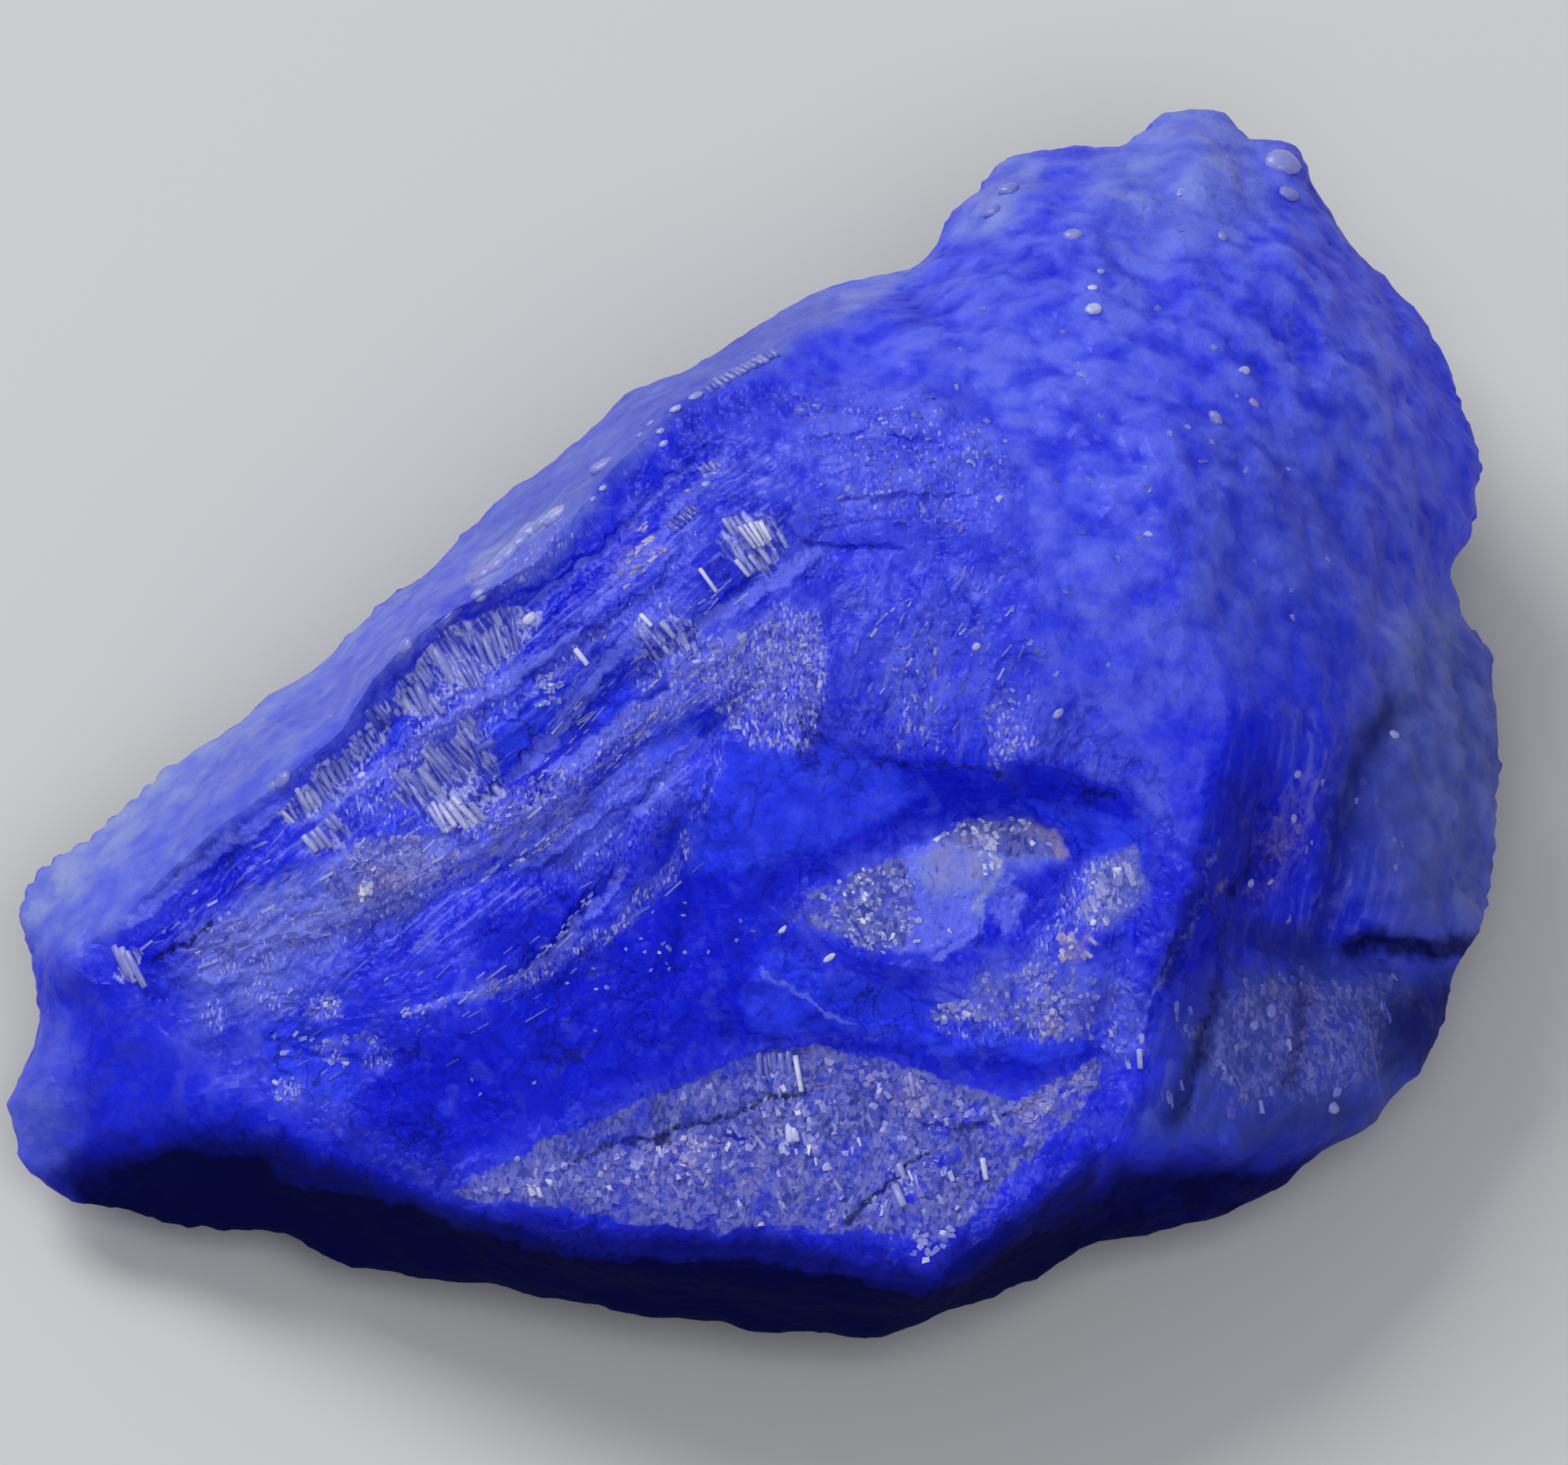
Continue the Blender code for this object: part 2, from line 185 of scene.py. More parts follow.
def chipsIn(points, size, seed=0.0):
    # flat chips, each tilted its own way about its middle, and a random number for each chip
    shift = Vector((3.3 * seed, 8.9 * seed, 6.1 * seed))
    slope = np.zeros(len(points))
    own = np.zeros(len(points))
    for number, point in enumerate(points):
        spot = Vector(point) / size + shift
        middleOfChip = noise.voronoi(spot)[1][0]
        tilt = noise.cell_vector(middleOfChip * 211.0)
        slope[number] = (tilt * 2 - Vector((1, 1, 1))).dot(spot - middleOfChip)
        own[number] = noise.cell(middleOfChip * 97.0)
    return slope, own


def seamsIn(points, size, seed=0.0):
    # 0 on the seams between cells of a stated size, and more further from them
    shift = Vector((2.9 * seed, 4.7 * seed, 7.3 * seed))
    nearest = np.array([noise.voronoi(Vector(p) / size + shift)[0][:2] for p in points])
    return nearest[:, 1] - nearest[:, 0]


def sheetEnds(across, spacing, dropShare=0.2):
    # sheets of crystal one on another: each rises slowly and ends in a short drop
    turn = across / spacing
    turn -= np.floor(turn)
    return np.where(turn < 1 - dropShare, turn / (1 - dropShare), (1 - turn) / dropShare)


# Lines where faces of the stone meet. They stay sharp when the solid's small facets are smoothed.
faceEdges = {
    "crest": [
        (94, 1217), (158, 1169), (290, 1045), (370, 989), (442, 925), (482, 861), (558, 789), (690, 713),
        (762, 621), (850, 525), (986, 449), (1082, 401),
    ],
    "tailLip": [(94, 1217), (150, 1269), (242, 1345), (330, 1409), (430, 1465), (562, 1517)],
    "frontLip": [
        (562, 1517), (650, 1549), (742, 1585), (898, 1601), (1050, 1609), (1178, 1625), (1282, 1541),
        (1402, 1449), (1470, 1437), (1562, 1449), (1642, 1449),
    ],
    "lowerTerrace": [
        (562, 1517), (702, 1441), (830, 1385), (958, 1337), (1050, 1329), (1178, 1365), (1282, 1397),
        (1390, 1345),
    ],
    "upperTerrace": [
        (998, 1161), (1062, 1109), (1150, 1069), (1230, 1041), (1290, 1037), (1346, 1069), (1366, 1113),
        (1330, 1181), (1242, 1201), (1178, 1225), (1090, 1213), (998, 1161),
    ],
    "rib": [(1562, 901), (1546, 1001), (1518, 1101), (1498, 1181), (1470, 1277), (1438, 1361), (1402, 1449)],
    "wallTop": [(1170, 977), (1298, 961), (1410, 1001), (1450, 1065)],
}

# Outlines that more than one piece or finish uses
shared = {
    "fan": [(1040, 720), (1290, 710), (1320, 880), (1270, 980), (1110, 960), (1050, 850)],
    "grainyTop": [(1000, 500), (1180, 500), (1290, 560), (1260, 680), (1060, 660)],
    "farBevel": [
        (560, 690), (598, 640), (790, 475), (878, 440), (1030, 340), (1082, 401), (986, 449), (850, 525),
        (762, 621), (690, 713),
    ],
    "sheetTops": [
        (180, 1190), (330, 1050), (480, 900), (600, 790), (760, 680), (900, 560), (1010, 560), (1000, 760),
        (960, 860), (900, 980),
    ],
}

# The whole stone as one skin. Lengths in mm, drawn places in pixels of the picture.
stone = {
    "fineEdge": 0.165,
    "plainEdge": 0.44,
    "hiddenEdge": 0.75,
    "fineArea": [
        (90, 1215), (300, 1035), (440, 915), (560, 775), (690, 700), (850, 515), (1000, 470), (1180, 500),
        (1300, 600), (1330, 850), (1460, 960), (1500, 1080), (1440, 1420), (1280, 1545), (1180, 1610),
        (900, 1590), (640, 1545), (450, 1460), (250, 1330), (110, 1250),
    ],
    "smoothing": 7,
    # how drawn lines are made ragged: size in mm, reach in pixels, seed
    "wander": ((0.9, 8, 1), (0.3, 6, 3)),
    "heldReach": 9,
    # line, drop in mm on its right hand, pixels over which the face rises again
    "ledges": [
        ([(270, 1230), (410, 1182), (560, 1120), (640, 1062), (700, 1020), (790, 940), (880, 862)], 0.26, 60),
        ([(600, 1268), (646, 1243), (682, 1208), (727, 1163), (749, 1136), (800, 1080)], 0.22, 40),
        ([(606, 1118), (646, 1092), (682, 1074), (727, 1038), (780, 990)], 0.18, 26),
        ([(880, 1050), (896, 1000), (905, 940)], 0.2, 40),
        ([(600, 1142), (690, 1096), (760, 1050), (860, 962), (960, 852)], 0.24, 44),
        ([(170, 1188), (230, 1140), (300, 1078), (372, 1020), (440, 962), (492, 900), (566, 826)], 0.12, 50),
        ([(440, 1012), (520, 942), (640, 880), (740, 802), (830, 742), (900, 642)], 0.22, 50),
        ([(560, 1052), (660, 962), (760, 872), (880, 792), (980, 702)], 0.26, 40),
        ([(700, 1030), (800, 952), (900, 902), (950, 862)], 0.22, 36),
        ([(620, 770), (700, 738), (780, 672), (850, 600), (930, 540)], 0.24, 40),
        ([(1004, 684), (1050, 692), (1110, 690), (1160, 700)], 0.12, 30),
        ([(1040, 640), (1120, 622), (1190, 632), (1250, 622)], 0.18, 30),
        ([(1000, 560), (1100, 542), (1210, 566)], 0.16, 30),
        ([(980, 1160), (1000, 1226), (1060, 1280), (1180, 1310), (1300, 1330), (1380, 1296)], -0.2, 50),
        ([(690, 1482), (800, 1440), (900, 1420), (980, 1392), (1062, 1384)], 0.08, 26),
        ([(1060, 1562), (1110, 1512), (1150, 1480), (1184, 1458)], 0.1, 30),
        ([(1160, 1420), (1210, 1428), (1260, 1420), (1330, 1392)], 0.16, 24),
        ([(1170, 1060), (1250, 1028), (1300, 1020), (1352, 1052), (1376, 1104)], -0.3, 36),
        ([(1540, 960), (1524, 1080), (1490, 1200), (1450, 1330)], -0.3, 50),
        ([(1640, 960), (1622, 1080), (1590, 1210), (1560, 1300)], -0.22, 50),
        ([(1450, 1100), (1432, 1200), (1410, 1300), (1372, 1400)], 0.24, 40),
        ([(1900, 1184), (1820, 1204), (1760, 1190), (1690, 1204)], -0.65, 90),
        ([(320, 1300), (380, 1330), (470, 1340), (560, 1320)], 0.16, 34),
    ],
    # sheets that end one behind another: outline, way in degrees, spacing in pixels, height in mm
    "sheets": [
        (shared["sheetTops"] + [(860, 1120), (700, 1240), (560, 1200), (300, 1290)], 41, 27, 0.085),
        ([(180, 1240), (300, 1180), (560, 1130), (640, 1180), (520, 1300), (330, 1330)], 22, 19, 0.07),
        (shared["fan"], 66, 24, 0.06),
        ([(1000, 470), (1280, 480), (1300, 690), (1020, 690)], 8, 22, 0.055),
        ([(1500, 920), (1800, 1000), (1800, 1240), (1680, 1400), (1440, 1420)], 76, 34, 0.1),
    ],
    "scoopSize": 2.3,
    "scoopDepth": 0.22,
    # size and height of the domes in mm, and their share in the crease value, which darkens the creases
    # (painted shade) and pales the dome middles (painted light)
    "domeLayers": ((1.35, 0.17, 0.6), (0.7, 0.075, 0.4)),
    "lumpSize": 1.5,
    "lumpDepth": 0.2,
    "grainSize": 0.5,
    "grainDepth": 0.05,
    "sugarDepth": 0.05,
    "chips": ((1.1, 0.034), (0.5, 0.024)),
    "crackDepth": 0.05,
    "gapDepth": 0.07,
}

# Where each finish shows, as (kind, strength, feather or half width or radius, drawn places)
finishes = {
    # painted sheen: a pale painted reflection on faces seen almost edge on, and a few painted highlights on
    # the terraces and ledges
    "paintedSheen": [
        ("area", 0.5, 22, [
            (94, 1217), (20, 1150), (40, 1096), (208, 950), (420, 796), (560, 680), (640, 690), (558, 789),
            (482, 861), (442, 925), (370, 989), (290, 1045), (158, 1169),
        ]),
        ("area", 0.85, 40, [
            (60, 1200), (10, 1150), (40, 1090), (208, 940), (420, 786), (600, 660), (600, 700), (500, 790),
            (400, 880), (300, 965), (200, 1050), (110, 1140),
        ]),
        ("area", 0.52, 26, shared["farBevel"] + [(640, 740)]),
        ("area", 0.28, 34, [(-20, 1410), (40, 1290), (90, 1300), (90, 1400), (70, 1480), (20, 1490)]),
        ("area", 0.5, 60, [(1380, 260), (1420, 110), (1550, 100), (1620, 190), (1560, 290), (1460, 310)]),
        ("area", 0.6, 24, [(1210, 300), (1250, 190), (1310, 190), (1330, 240), (1270, 300)]),
        ("area", 0.5, 60, [(1740, 760), (1860, 760), (1930, 960), (1900, 1190), (1790, 1190), (1740, 1000)]),
        ("area", 0.1, 50, [
            (1500, 1270), (1620, 1220), (1800, 1220), (1780, 1400), (1560, 1450), (1470, 1420),
        ]),
        ("stroke", 0.5, 20, [(1180, 300), (1120, 360), (1060, 390)]),
        ("stroke", 0.85, 24, [(590, 744), (630, 706), (680, 664), (720, 640)]),
        ("stroke", 0.8, 7, [(1262, 1050), (1256, 1084), (1263, 1104), (1248, 1134), (1238, 1164)]),
        ("area", 0.5, 10, [(1160, 1090), (1216, 1062), (1250, 1072), (1240, 1120), (1180, 1150)]),
        ("area", 0.6, 12, [(1385, 1095), (1440, 1082), (1450, 1130), (1410, 1180), (1375, 1175)]),
        ("area", 0.5, 12, [(1222, 1046), (1300, 1036), (1345, 1060), (1340, 1086), (1230, 1096)]),
        ("area", 0.42, 22, [
            (240, 1185), (330, 1130), (440, 1080), (560, 1055), (590, 1085), (500, 1150), (380, 1200),
            (270, 1240),
        ]),
        ("area", 0.3, 26, [(230, 1230), (330, 1210), (430, 1180), (440, 1230), (330, 1290), (250, 1290)]),
        ("area", 0.18, 16, [(640, 1060), (740, 1010), (860, 900), (880, 930), (780, 1050), (660, 1100)]),
        ("area", 0.12, 30, [
            (1500, 1240), (1620, 1225), (1740, 1240), (1720, 1330), (1580, 1390), (1500, 1360),
        ]),
    ],
    # light blue, softly mottled
    "pale": [
        ("area", 0.75, 90, [
            (1090, 380), (1250, 170), (1420, 120), (1640, 170), (1780, 380), (1860, 640), (1700, 760),
            (1500, 900), (1310, 880), (1260, 700), (1080, 640), (960, 560),
        ]),
        ("area", 1.15, 50, [
            (1160, 400), (1320, 390), (1400, 290), (1510, 290), (1500, 440), (1320, 560), (1160, 540),
        ]),
        ("area", 0.8, 12, [(700, 880), (780, 866), (800, 930), (740, 975), (690, 960)]),
        ("area", 0.6, 16, [(640, 1060), (700, 1030), (770, 1020), (760, 1090), (650, 1110)]),
        ("area", 1.1, 40, [(1680, 400), (1790, 400), (1810, 580), (1690, 580)]),
        ("area", 0.5, 60, [(900, 540), (1060, 440), (1160, 520), (1160, 660), (1010, 720), (930, 640)]),
        ("area", 0.5, 30, [(1040, 700), (1300, 700), (1480, 900), (1500, 1060), (1320, 960), (1060, 900)]),
        ("area", 0.4, 30, [(150, 1290), (320, 1300), (460, 1400), (540, 1480), (420, 1440), (240, 1340)]),
        ("area", 0.4, 40, [(800, 1100), (900, 1060), (980, 1090), (960, 1180), (860, 1200)]),
        ("area", 0.8, 12, [
            (1000, 1156), (1040, 1122), (1100, 1096), (1160, 1064), (1230, 1044), (1290, 1036), (1340, 1060),
            (1350, 1090), (1300, 1110), (1250, 1150), (1236, 1186), (1180, 1218), (1110, 1206), (1060, 1190),
        ]),
        ("area", 0.8, 20, [
            (1180, 1250), (1330, 1200), (1440, 1230), (1440, 1330), (1300, 1320), (1210, 1300),
        ]),
        ("area", 0.5, 40, [
            (680, 860), (780, 760), (900, 600), (1000, 560), (1040, 720), (960, 860), (800, 960),
        ]),
        ("area", 0.35, 30, [(240, 1180), (420, 1100), (600, 1060), (560, 1180), (300, 1240)]),
    ],
    # rounded lumps
    "domes": [
        ("area", 1.0, 80, [
            (1090, 380), (1200, 180), (1420, 90), (1660, 150),
            (1800, 380), (1900, 640), (1920, 1000), (1840, 1250),
            (1700, 1100), (1560, 860), (1330, 820), (1300, 640), (1180, 500),
        ]),
        ("area", 1.5, 50, [(1640, 860), (1760, 800), (1920, 800), (1920, 1200), (1720, 1200), (1640, 1060)]),
        ("area", 0.55, 30, [
            (20, 1180), (30, 1090), (208, 940), (420, 786), (560, 670), (790, 470), (1030, 340), (1082, 401),
            (850, 515), (690, 700), (558, 779), (442, 915), (290, 1035), (94, 1207),
        ]),
        ("area", 0.6, 40, [(-20, 1300), (100, 1260), (300, 1400), (520, 1500), (300, 1560), (40, 1500)]),
        ("area", 1.7, 40, [
            (1460, 1280), (1560, 1000), (1700, 1000), (1880, 1250), (1800, 1450), (1450, 1450),
        ]),
    ],
    # clean bright blue
    "royal": [
        ("area", 0.95, 26, [
            (860, 1040), (900, 950), (1010, 930), (1110, 965), (1180, 1000), (1080, 1060), (980, 1100),
            (880, 1110),
        ]),
        ("area", 0.95, 14, [
            (985, 1190), (1030, 1226), (1090, 1240), (1200, 1270), (1330, 1300), (1390, 1320), (1330, 1350),
            (1200, 1330), (1060, 1305), (960, 1310), (940, 1260),
        ]),
        ("area", 0.9, 12, [
            (1290, 1006), (1370, 1020), (1450, 1040), (1460, 1080), (1400, 1100), (1340, 1050),
        ]),
        ("area", 0.9, 9, [
            (609, 900), (650, 868), (700, 850), (722, 868), (715, 905), (680, 950), (635, 995), (612, 960),
        ]),
        ("area", 0.9, 9, [(441, 1050), (470, 1018), (520, 1009), (566, 1030), (572, 1050), (500, 1058)]),
        ("area", 0.8, 9, [(744, 900), (760, 862), (800, 840), (820, 860), (800, 900), (760, 920)]),
        ("area", 0.9, 8, [(462, 925), (486, 890), (512, 872), (536, 890), (520, 935), (478, 965)]),
        ("area", 0.8, 12, [(800, 940), (850, 905), (930, 900), (925, 940), (860, 960), (815, 970)]),
        ("area", 0.7, 20, [(320, 1290), (420, 1290), (470, 1360), (430, 1420), (340, 1370)]),
    ],
    # lilac bands where a sheet of crystal ends
    "band": [
        ("stroke", 0.8, 11, [
            (365, 1051), (466, 988), (525, 946), (576, 908), (635, 870), (689, 833), (744, 795),
        ]),
        ("stroke", 0.6, 4, [(609, 950), (660, 896), (719, 841)]),
        ("stroke", 0.75, 12, [
            (630, 1001), (677, 963), (710, 921), (744, 879), (765, 849), (803, 803), (837, 774),
        ]),
        ("stroke", 1.0, 13, [(702, 988), (744, 950), (795, 917), (837, 891), (862, 883)]),
        ("stroke", 1.0, 10, [(845, 870), (900, 833), (938, 803)]),
        ("stroke", 0.9, 11, [(803, 1035), (837, 997), (862, 963), (891, 934)]),
        ("stroke", 0.9, 12, [(576, 1093), (635, 1068), (685, 1030), (731, 1001)]),
        ("stroke", 0.7, 12, [(880, 800), (940, 760), (1000, 720), (1040, 700)]),
        ("stroke", 0.6, 9, [(600, 1270), (660, 1240), (720, 1190), (760, 1150), (800, 1090)]),
        ("stroke", 0.55, 7, [(512, 1285), (590, 1262), (655, 1238)]),
        ("stroke", 0.7, 12, [(250, 1210), (340, 1190), (430, 1165), (560, 1120)]),
        ("stroke", 0.6, 8, [(240, 1240), (330, 1226), (440, 1190)]),
        ("stroke", 0.6, 12, [(720, 800), (780, 740), (830, 690), (880, 620), (930, 560)]),
        ("stroke", 0.5, 10, [(680, 770), (760, 700), (830, 630), (880, 580)]),
        ("stroke", 0.6, 10, [(150, 1180), (230, 1115), (300, 1060), (380, 1010)]),
        ("stroke", 0.5, 8, [(1190, 1272), (1290, 1290), (1380, 1300)]),
        ("stroke", 0.5, 5, [(1546, 1056), (1524, 1130), (1498, 1196), (1462, 1266), (1430, 1336)]),
        ("area", 0.62, 12, [
            (1130, 1095), (1170, 1070), (1240, 1060), (1275, 1100), (1240, 1150), (1236, 1186),
            (1180, 1214), (1120, 1204),
        ]),
        ("stroke", 0.9, 5, [(1180, 1222), (1236, 1190), (1246, 1140), (1290, 1104)]),
        ("stroke", 0.7, 4, [(962, 1222), (985, 1246), (1020, 1262), (1050, 1288), (1090, 1300)]),
        ("area", 0.6, 10, [(1252, 1150), (1280, 1116), (1300, 1130), (1298, 1176), (1266, 1190)]),
    ],
    # dark saturated blue
    "deep": [
        ("area", 1.0, 26, [
            (600, 1290), (700, 1220), (820, 1130), (890, 1040), (930, 960), (1010, 925), (1100, 960),
            (1190, 950), (1290, 985), (1320, 1015), (1230, 1030), (1130, 1060), (1050, 1100), (985, 1155),
            (990, 1220), (1000, 1300), (1120, 1325), (1270, 1345), (1400, 1330), (1290, 1385),
            (1190, 1352), (1050, 1322), (950, 1325), (820, 1378), (690, 1430), (560, 1480), (430, 1430),
            (480, 1340),
        ]),
        ("area", 0.9, 12, [
            (640, 1010), (690, 930), (770, 850), (840, 830), (850, 880), (760, 960), (700, 1010),
        ]),
        ("area", 0.9, 12, [(480, 925), (520, 892), (545, 905), (515, 950), (470, 968)]),
        ("area", 0.9, 14, [(420, 1040), (500, 1010), (600, 1040), (560, 1060), (450, 1062)]),
        ("area", 0.95, 14, [(150, 1210), (210, 1160), (290, 1100), (330, 1120), (250, 1185), (190, 1240)]),
        ("area", 0.95, 16, [
            (1290, 960), (1380, 985), (1450, 1010), (1460, 1080), (1400, 1110), (1340, 1050), (1290, 1020),
        ]),
        ("area", 0.5, 14, [(1290, 1110), (1360, 1100), (1350, 1160), (1290, 1180)]),
        ("area", 0.8, 30, [
            (1500, 1100), (1560, 900), (1620, 880), (1640, 1100), (1560, 1200), (1490, 1330), (1440, 1400),
        ]),
        ("area", 0.7, 50, [(1420, 1460), (1500, 1100), (1700, 1180), (1760, 1230), (1500, 1260)]),
        ("area", 0.95, 24, [
            (60, 1490), (130, 1430), (300, 1405), (440, 1440),
            (560, 1500), (700, 1526), (900, 1545), (1060, 1556),
            (1170, 1596), (1280, 1540), (1400, 1455), (1700, 1440), (1600, 1600), (1000, 1700), (300, 1600),
        ]),
        ("area", 0.5, 30, [(80, 1290), (200, 1290), (240, 1420), (80, 1430)]),
        ("area", 0.6, 30, [(880, 720), (960, 660), (1000, 700), (960, 780), (900, 790)]),
        ("area", 0.9, 22, [
            (600, 1170), (700, 1130), (840, 1010), (880, 1020), (830, 1110), (700, 1215), (610, 1235),
        ]),
    ],
    # small bright flecks along the ends of sheets: painted glints, with a pale veil over some cells
    "glitter": [
        ("area", 1.0, 12, [
            (880, 868), (950, 800), (980, 764), (1040, 770), (1052, 830),
            (1044, 900), (1030, 955), (960, 950), (910, 915),
        ]),
        ("stroke", 0.9, 20, [(450, 1110), (560, 1085), (640, 1030), (720, 990), (800, 920), (900, 856)]),
        ("stroke", 0.8, 16, [(250, 1230), (340, 1215), (430, 1180), (540, 1130), (620, 1090)]),
        ("stroke", 0.8, 12, [(640, 1262), (716, 1212), (790, 1170), (846, 1110), (884, 1050)]),
        ("stroke", 0.7, 12, [(884, 1050), (900, 990), (912, 930)]),
        ("stroke", 0.8, 16, [(800, 872), (850, 840), (900, 820), (950, 805)]),
        ("stroke", 0.6, 12, [(540, 1000), (640, 900), (740, 820), (830, 750), (900, 660)]),
        ("area", 0.75, 26, [
            (380, 1040), (470, 960), (560, 870), (640, 800), (660, 850), (600, 1000), (500, 1060),
        ]),
        ("area", 0.8, 26, [(440, 1070), (530, 1050), (560, 1090), (520, 1150), (430, 1165)]),
        ("area", 0.6, 24, [(230, 1170), (380, 1120), (440, 1150), (350, 1215), (240, 1225)]),
        ("area", 0.5, 30, [(680, 1060), (800, 980), (880, 960), (840, 1060), (740, 1130)]),
        ("area", 0.6, 16, [(600, 740), (720, 650), (740, 680), (640, 770)]),
        ("area", 0.6, 20, [(780, 760), (860, 740), (860, 830), (800, 850)]),
        ("area", 0.5, 26, shared["grainyTop"]),
        ("area", 0.55, 22, [(1130, 820), (1200, 800), (1190, 950), (1130, 950)]),
        ("area", 0.7, 14, [(1250, 900), (1310, 860), (1320, 950), (1270, 980)]),
        ("area", 0.9, 14, [
            (1370, 1090), (1430, 1080), (1450, 1120), (1410, 1180), (1350, 1190), (1330, 1260),
            (1340, 1320), (1300, 1320), (1290, 1240), (1330, 1170),
        ]),
        ("area", 0.6, 14, [(1170, 1290), (1220, 1262), (1290, 1290), (1290, 1330), (1230, 1320)]),
        ("area", 0.5, 20, [(1380, 1250), (1440, 1230), (1450, 1330), (1400, 1350)]),
        ("spot", 0.9, 18, [
            (412, 1276), (418, 1330), (368, 1386), (346, 1268), (330, 1252), (480, 1340), (270, 1290),
        ]),
    ],
    # sugary flat faces
    "sugar": [
        ("area", 1.0, 9, [
            (570, 1512), (640, 1474), (740, 1430), (850, 1382), (930, 1348), (990, 1330), (1060, 1332),
            (1140, 1350), (1200, 1366), (1260, 1392), (1300, 1395), (1350, 1366), (1392, 1342),
            (1400, 1372), (1370, 1410), (1300, 1470), (1240, 1536), (1190, 1580), (1120, 1560),
            (1010, 1556), (900, 1560), (800, 1548), (700, 1528), (630, 1522),
        ]),
        ("area", 0.7, 12, [
            (1000, 1156), (1040, 1122), (1100, 1096), (1150, 1080), (1160, 1130), (1150, 1200), (1110, 1206),
            (1060, 1190),
        ]),
        ("area", 0.8, 12, [
            (1190, 1066), (1230, 1044), (1290, 1036), (1340, 1060), (1350, 1090), (1270, 1086),
        ]),
        ("area", 0.4, 16, [
            (1180, 1470), (1290, 1410), (1330, 1440), (1260, 1540), (1180, 1590), (1140, 1570),
        ]),
        ("area", 0.45, 16, [
            (1230, 1240), (1330, 1210), (1390, 1240), (1400, 1330), (1300, 1320), (1230, 1290),
        ]),
        ("area", 0.7, 14, [(1390, 1090), (1440, 1070), (1450, 1110), (1400, 1180), (1360, 1180)]),
        ("area", 0.45, 16, [(900, 860), (980, 780), (1044, 770), (1048, 900), (980, 930), (920, 900)]),
        ("area", 0.6, 18, [(430, 1070), (530, 1055), (560, 1090), (540, 1150), (440, 1165), (400, 1130)]),
        ("area", 0.5, 30, [(1480, 1300), (1600, 1220), (1780, 1230), (1760, 1380), (1560, 1420)]),
    ],
    # greyer blue of the blunt right end
    "dull": [
        ("area", 0.8, 50, [(1710, 900), (1800, 770), (1990, 780), (1990, 1190), (1780, 1200), (1700, 1080)]),
        ("area", 0.95, 40, [
            (1500, 1290), (1600, 1210), (1960, 1220), (1900, 1400), (1740, 1440), (1560, 1460),
            (1450, 1440),
        ]),
        ("area", 0.3, 24, shared["farBevel"]),
        ("area", 0.35, 24, [(-20, 1380), (80, 1380), (80, 1470), (-20, 1470)]),
        ("area", 0.3, 90, [(1560, 560), (1860, 560), (1840, 800), (1640, 900), (1560, 760)]),
        ("area", 0.5, 30, [
            (560, 1520), (640, 1478), (900, 1360), (1000, 1335), (1200, 1370), (1100, 1550), (700, 1530),
        ]),
    ],
    # painted shade: blue-black under the lips, on the underside and in the clefts of the right end, standing
    # in for their shadow
    "underShade": [
        ("area", 1.0, 22, [
            (200, 1450), (344, 1462), (356, 1483), (415, 1501), (474, 1511), (526, 1523), (585, 1547),
            (615, 1552), (686, 1578), (741, 1588), (807, 1590), (944, 1586), (999, 1596), (1054, 1606),
            (1109, 1622), (1174, 1630), (1218, 1610), (1273, 1572), (1320, 1545), (1400, 1545), (1440, 1620),
            (1400, 1700), (1200, 1800),
            (600, 1780), (200, 1700), (60, 1560), (150, 1500),
        ]),
        ("area", 0.72, 20, [
            (220, 1430), (344, 1440), (470, 1488), (562, 1524), (680, 1548), (800, 1562), (1000, 1568),
            (1100, 1596), (1180, 1606), (1270, 1550), (1390, 1462), (1400, 1600), (1100, 1700), (600, 1650),
            (300, 1550),
        ]),
        ("area", 0.85, 36, [(60, 1480), (130, 1455), (240, 1440), (430, 1480), (330, 1600), (100, 1580)]),
        ("area", 0.84, 26, [
            (1200, 1640), (1300, 1550), (1420, 1480), (1620, 1470), (1760, 1420), (1640, 1620),
            (1300, 1700),
        ]),
        ("area", 0.62, 30, [(1740, 1270), (1840, 1230), (1960, 1240), (1880, 1380), (1760, 1360)]),
        ("area", 0.6, 22, [(1700, 960), (1760, 880), (1780, 900), (1720, 1010), (1690, 1180), (1660, 1190)]),
        ("area", 0.3, 24, [(1590, 1400), (1760, 1390), (1900, 1330), (1800, 1480), (1560, 1480)]),
        ("area", 0.3, 16, [(1050, 1562), (1180, 1598), (1180, 1625), (1050, 1605)]),
        ("area", 0.3, 30, [(420, 1440), (560, 1470), (600, 1530), (420, 1500)]),
        ("stroke", 0.5, 14, [(1480, 1440), (1520, 1330), (1545, 1240)]),
        ("stroke", 0.75, 15, [(1900, 1184), (1850, 1200), (1800, 1204), (1750, 1192), (1690, 1204)]),
        ("stroke", 0.45, 26, [(1690, 1204), (1600, 1186), (1540, 1170)]),
        ("stroke", 0.5, 14, [(1520, 1120), (1500, 1180), (1470, 1260)]),
        ("stroke", 0.45, 12, [(1640, 1220), (1650, 1300), (1630, 1390)]),
        ("area", 0.35, 30, [
            (1510, 1130), (1550, 1000), (1600, 960), (1630, 1060), (1570, 1200), (1500, 1330),
        ]),
    ],
    # silky lines along the broken sheets, and down the right end
    "silk": [
        ("area", 1.0, 30, shared["sheetTops"] + [
            (820, 1060), (700, 1140), (600, 1190), (480, 1240), (400, 1290), (300, 1280),
        ]),
    ],
    "flow": [
        ("area", 1.0, 40, [
            (1460, 1280), (1520, 1000), (1560, 880), (1680, 900), (1780, 1040), (1800, 1180), (1790, 1400),
            (1560, 1450), (1430, 1430),
        ]),
        ("area", 0.8, 30, shared["fan"]),
    ],
    # fine clear rods side by side, across the sheets
    "ladder": [
        ("area", 0.9, 8, [
